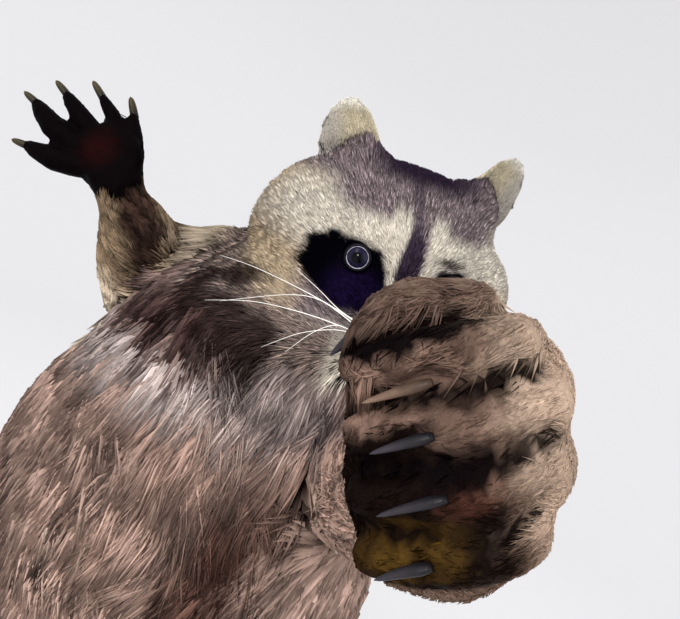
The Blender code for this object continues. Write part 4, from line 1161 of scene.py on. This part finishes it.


# Eyes with lids, and a pale rim of tears whose colour is a painted reflection of light on the wet rim.
eyeCare = {
    "ball": 0.0084, "bulge": 0.0006, "opening": 0.0058, "gaze": (0.22, -0.955, 0.16),
    "pupil": (0.0028, 0.0034), "iris": (0.0044, 0.0013, 0.0008), "lid": 0.0006, "lidWide": 0.0009,
    "tear": 0.00024, "around": 48,
    "colours": {"ball": paint(8, 7, 14), "iris": paint(25, 23, 44), "pupil": paint(2, 2, 5)},
}
for sideName, sign in (("right", -1), ("left", 1)):
    centre = nodeCentre("eye_" + sideName)
    gaze = headTurn.to_3x3() @ Vector((sign * eyeCare["gaze"][0], *eyeCare["gaze"][1:])).normalized()
    eyePlace = Matrix.Translation(centre) @ gaze.to_track_quat("Z", "Y").to_matrix().to_4x4()
    eye = addBall("eyeball_" + sideName, eyeCare["ball"])
    points = pointsOf(eye)
    around = np.arctan2(points[:, 1], points[:, 0])
    off = np.hypot(points[:, 0], points[:, 1])
    front = points[:, 2] > 0
    streak = 1 + 0.25 * np.sin(around * 23) + 0.18 * np.sin(around * 41 + 1)
    iris = eyeCare["colours"]["iris"][None] * streak[:, None]
    colour = np.tile(eyeCare["colours"]["ball"], (len(points), 1))
    colour = mixed(colour, iris, band(off, *eyeCare["iris"]) * front)
    colour = mixed(colour, eyeCare["colours"]["pupil"], (1 - ramp(off, *eyeCare["pupil"])) * front)
    points[:, 2] += eyeCare["bulge"] * (1 - ramp(off, 0.0, 0.0060)) * front
    setPoints(eye, points)
    eye.data.transform(eyePlace)
    eye.data.update()
    setColours(eye, "mark", colour)
    finishPiece(eye, "eye", "eye", "eye_" + sideName)

    angle = np.linspace(0, 2 * math.pi, eyeCare["around"], endpoint=False)
    headUp = np.array(eyePlace.to_3x3().inverted() @ turnedTo(headTurn, (0, 0, 1)))
    upward = np.cos(angle) * headUp[0] + np.sin(angle) * headUp[1]  # 1 at the top of the eye, -1 at its foot

    def rimPiece(name, radius, forward, halfWidths, halfHeights, sides):
        ring = np.stack([np.cos(angle) * radius, np.sin(angle) * radius, forward], 1)
        return swept(name + sideName, moved(eyePlace, ring), halfWidths, halfHeights, gaze, sides, True)

    opening = eyeCare["opening"] * (1 - 0.03 * np.maximum(upward, 0))
    rest = np.sqrt(eyeCare["ball"] ** 2 - opening**2)
    lidThick = eyeCare["lid"] * (1 + 0.35 * np.maximum(upward, 0))
    lidWide = np.full(len(angle), eyeCare["lidWide"])
    finishPiece(rimPiece("lids_", opening + 0.0006, rest - 0.0006, lidWide, lidThick, 12), "lid", "bare_skin")
    # painted reflection: the pale ring of tears is thicker at the foot of the eye, where it shines most
    uneven = 0.22 * np.sin(angle * 5 + 1) + 0.16 * np.sin(angle * 11)
    thick = eyeCare["tear"] * (0.70 + 0.50 * np.maximum(-upward, 0) + uneven)
    finishPiece(rimPiece("tear_line_sheen_", opening - 0.0001, rest + 0.00025, thick, thick, 8), "tear", "eye")
print("eyes ready")


# Nose: a ball with nostrils, their slits at the sides and a groove pressed in.
noseCare = {
    "size": (0.0094, 0.0064, 0.0070),
    "nostril": ((0.50, -0.82, -0.05), (0.20, 0.5, 0.26), 0.34),  # middle, reach and depth, shares of the ball
    "slit": ((0.80, -0.5, -0.22), (0.22, 0.5, 0.11), 0.16),
    "groove": (0.07, 0.09),
}
nose = addBall("nose_pad")
points = pointsOf(nose)
x, y, z = points.T
shape = 1 - 0.10 * ramp(-z, 0.1, 0.9) * (1 - np.abs(x)) + 0.04 * ramp(z, 0.2, 0.8)
for sign in (-1, 1):
    for middle, reach, deep in (noseCare["nostril"], noseCare["slit"]):
        away = (points - np.array(middle) * [sign, 1, 1]) / reach
        shape -= deep * np.exp(-(away**2).sum(1))
grooveWide, grooveDeep = noseCare["groove"]
shape -= grooveDeep * np.exp(-((x / grooveWide) ** 2)) * ramp(-z, -0.2, 0.3) * (y < 0)
setPoints(nose, points * shape[:, None] * noseCare["size"])
nose.data.transform(headPlace @ Matrix.Translation(head["nose"]))
nose.data.update()
finishPiece(nose, "nose", "nose_leather", "nose")


# Whiskers: places in the head's own frame, from root to tip.
whiskers = {
    "points": 18, "sides": 6, "root": 0.00030, "tip": 0.00008,
    "paths": (
        ((-0.0130, -0.0445, -0.0215), (-0.0305, -0.0397, -0.0172), (-0.0472, -0.0303, -0.0166),
         (-0.0761, -0.0151, -0.0174), (-0.0932, -0.0060, -0.0207)),
        ((-0.0125, -0.0460, -0.0235), (-0.0305, -0.0419, -0.0173), (-0.0424, -0.0328, -0.0156),
         (-0.0580, -0.0266, -0.0229), (-0.0861, -0.0178, -0.0399)),
        ((-0.0135, -0.0430, -0.0250), (-0.0328, -0.0434, -0.0222), (-0.0503, -0.0362, -0.0249),
         (-0.0709, -0.0274, -0.0302), (-0.0932, -0.0193, -0.0411)),
        ((-0.0120, -0.0440, -0.0205), (-0.0304, -0.0399, -0.0176), (-0.0416, -0.0301, -0.0138),
         (-0.0556, -0.0181, -0.0110)),
        ((-0.0125, -0.0450, -0.0265), (-0.0302, -0.0435, -0.0213), (-0.0400, -0.0431, -0.0301),
         (-0.0488, -0.0429, -0.0442)),
        ((-0.0130, -0.0410, -0.0255), (-0.0290, -0.0400, -0.0260), (-0.0450, -0.0370, -0.0350),
         (-0.0600, -0.0340, -0.0500)),
    ),
}


def smoothPath(points, count):  # a curve through the points
    points = np.asarray(points, float)
    span = np.concatenate([[0], np.cumsum(np.linalg.norm(np.diff(points, axis=0), axis=1))])
    place = np.linspace(0, span[-1], count)
    result = np.stack([np.interp(place, span, points[:, k]) for k in range(3)], 1)
    for _ in range(count // 4):
        result[1:-1] = (result[:-2] + 2 * result[1:-1] + result[2:]) / 4
    return result


hairs = []
thick = np.linspace(whiskers["root"], whiskers["tip"], whiskers["points"])
for sign in (1, -1):
    for path in whiskers["paths"]:
        path = moved(headPlace, smoothPath(np.array(path) * [sign, 1, 1], whiskers["points"]))
        hairs.append(swept("whisker", path, thick, thick, (0, 0.3, 1.0), whiskers["sides"]))
finishPiece(joinAll("whiskers", hairs), "whisker", "fur")
print("nose and whiskers ready")


# Stage and light.
stage = {
    "radius": 2.2, "wall": 2.4, "bend": 0.8, "around": 96, "bendSteps": 12, "innerRing": 0.9,
    "colour": (0.40, 0.40, 0.405), "glow": (0.760, 0.750, 0.765), "glowStrength": 0.57,
}
flatEdge, around = stage["radius"] - stage["bend"], stage["around"]
profile = [(flatEdge * stage["innerRing"], 0.0), (flatEdge, 0.0)]
for step in range(1, stage["bendSteps"] + 1):
    angle = step / stage["bendSteps"] * math.pi / 2
    profile.append((flatEdge + stage["bend"] * math.sin(angle), stage["bend"] * (1 - math.cos(angle))))
profile.append((stage["radius"], stage["wall"]))
angles = [k / around * 2 * math.pi for k in range(around)]
points = [(r * math.cos(angle), r * math.sin(angle), height) for r, height in profile for angle in angles]
quads = []
for level in range(len(profile) - 1):
    for k in range(around):
        a, b = level * around + k, level * around + (k + 1) % around
        quads.append((b, a, a + around, b + around))
bowl = bpy.data.meshes.new("backdrop")
bowl.from_pydata(points, [], quads + [tuple(range(around))])
backdrop = smoothShaded(putIn("backdrop", bowl))
backdropMaterial = bpy.data.materials.new("backdropPaper")
backdropMaterial.use_nodes = True
for socket, value in (
    ("Base Color", (*stage["colour"], 1)), ("Roughness", 0.9), ("Specular IOR Level", 0.1),
    ("Emission Color", (*stage["glow"], 1)), ("Emission Strength", stage["glowStrength"]),
):
    backdropMaterial.node_tree.nodes["Principled BSDF"].inputs[socket].default_value = value
backdrop.data.materials.append(backdropMaterial)

lights = {  # place, size, power
    "key": ((-0.9, -1.3, 1.6), 0.9, 10),
    "fill": ((1.3, -1.1, 0.9), 1.2, 5.5),
    "top": ((0.2, 0.4, 2.0), 1.4, 10),
    "catch": ((-0.16, -1.25, 0.66), 0.30, 10.0),
}
studio = {"aim": (0.05, -0.05, 0.3), "air": (0.93, 0.95, 1.0), "airStrength": 0.62}
for name, (place, size, power) in lights.items():
    lamp = bpy.data.lights.new(name, "AREA")
    lamp.energy, lamp.size = power, size
    thing = putIn(name, lamp)
    thing.location = place
    thing.rotation_euler = (Vector(studio["aim"]) - thing.location).to_track_quat("-Z", "Y").to_euler()
world = bpy.data.worlds.new("studio")
world.use_nodes = True
air = world.node_tree.nodes["Background"].inputs
air["Color"].default_value, air["Strength"].default_value = (*studio["air"], 1), studio["airStrength"]
bpy.context.scene.world = world
bpy.context.scene.view_settings.view_transform = "Standard"
print("stage ready")
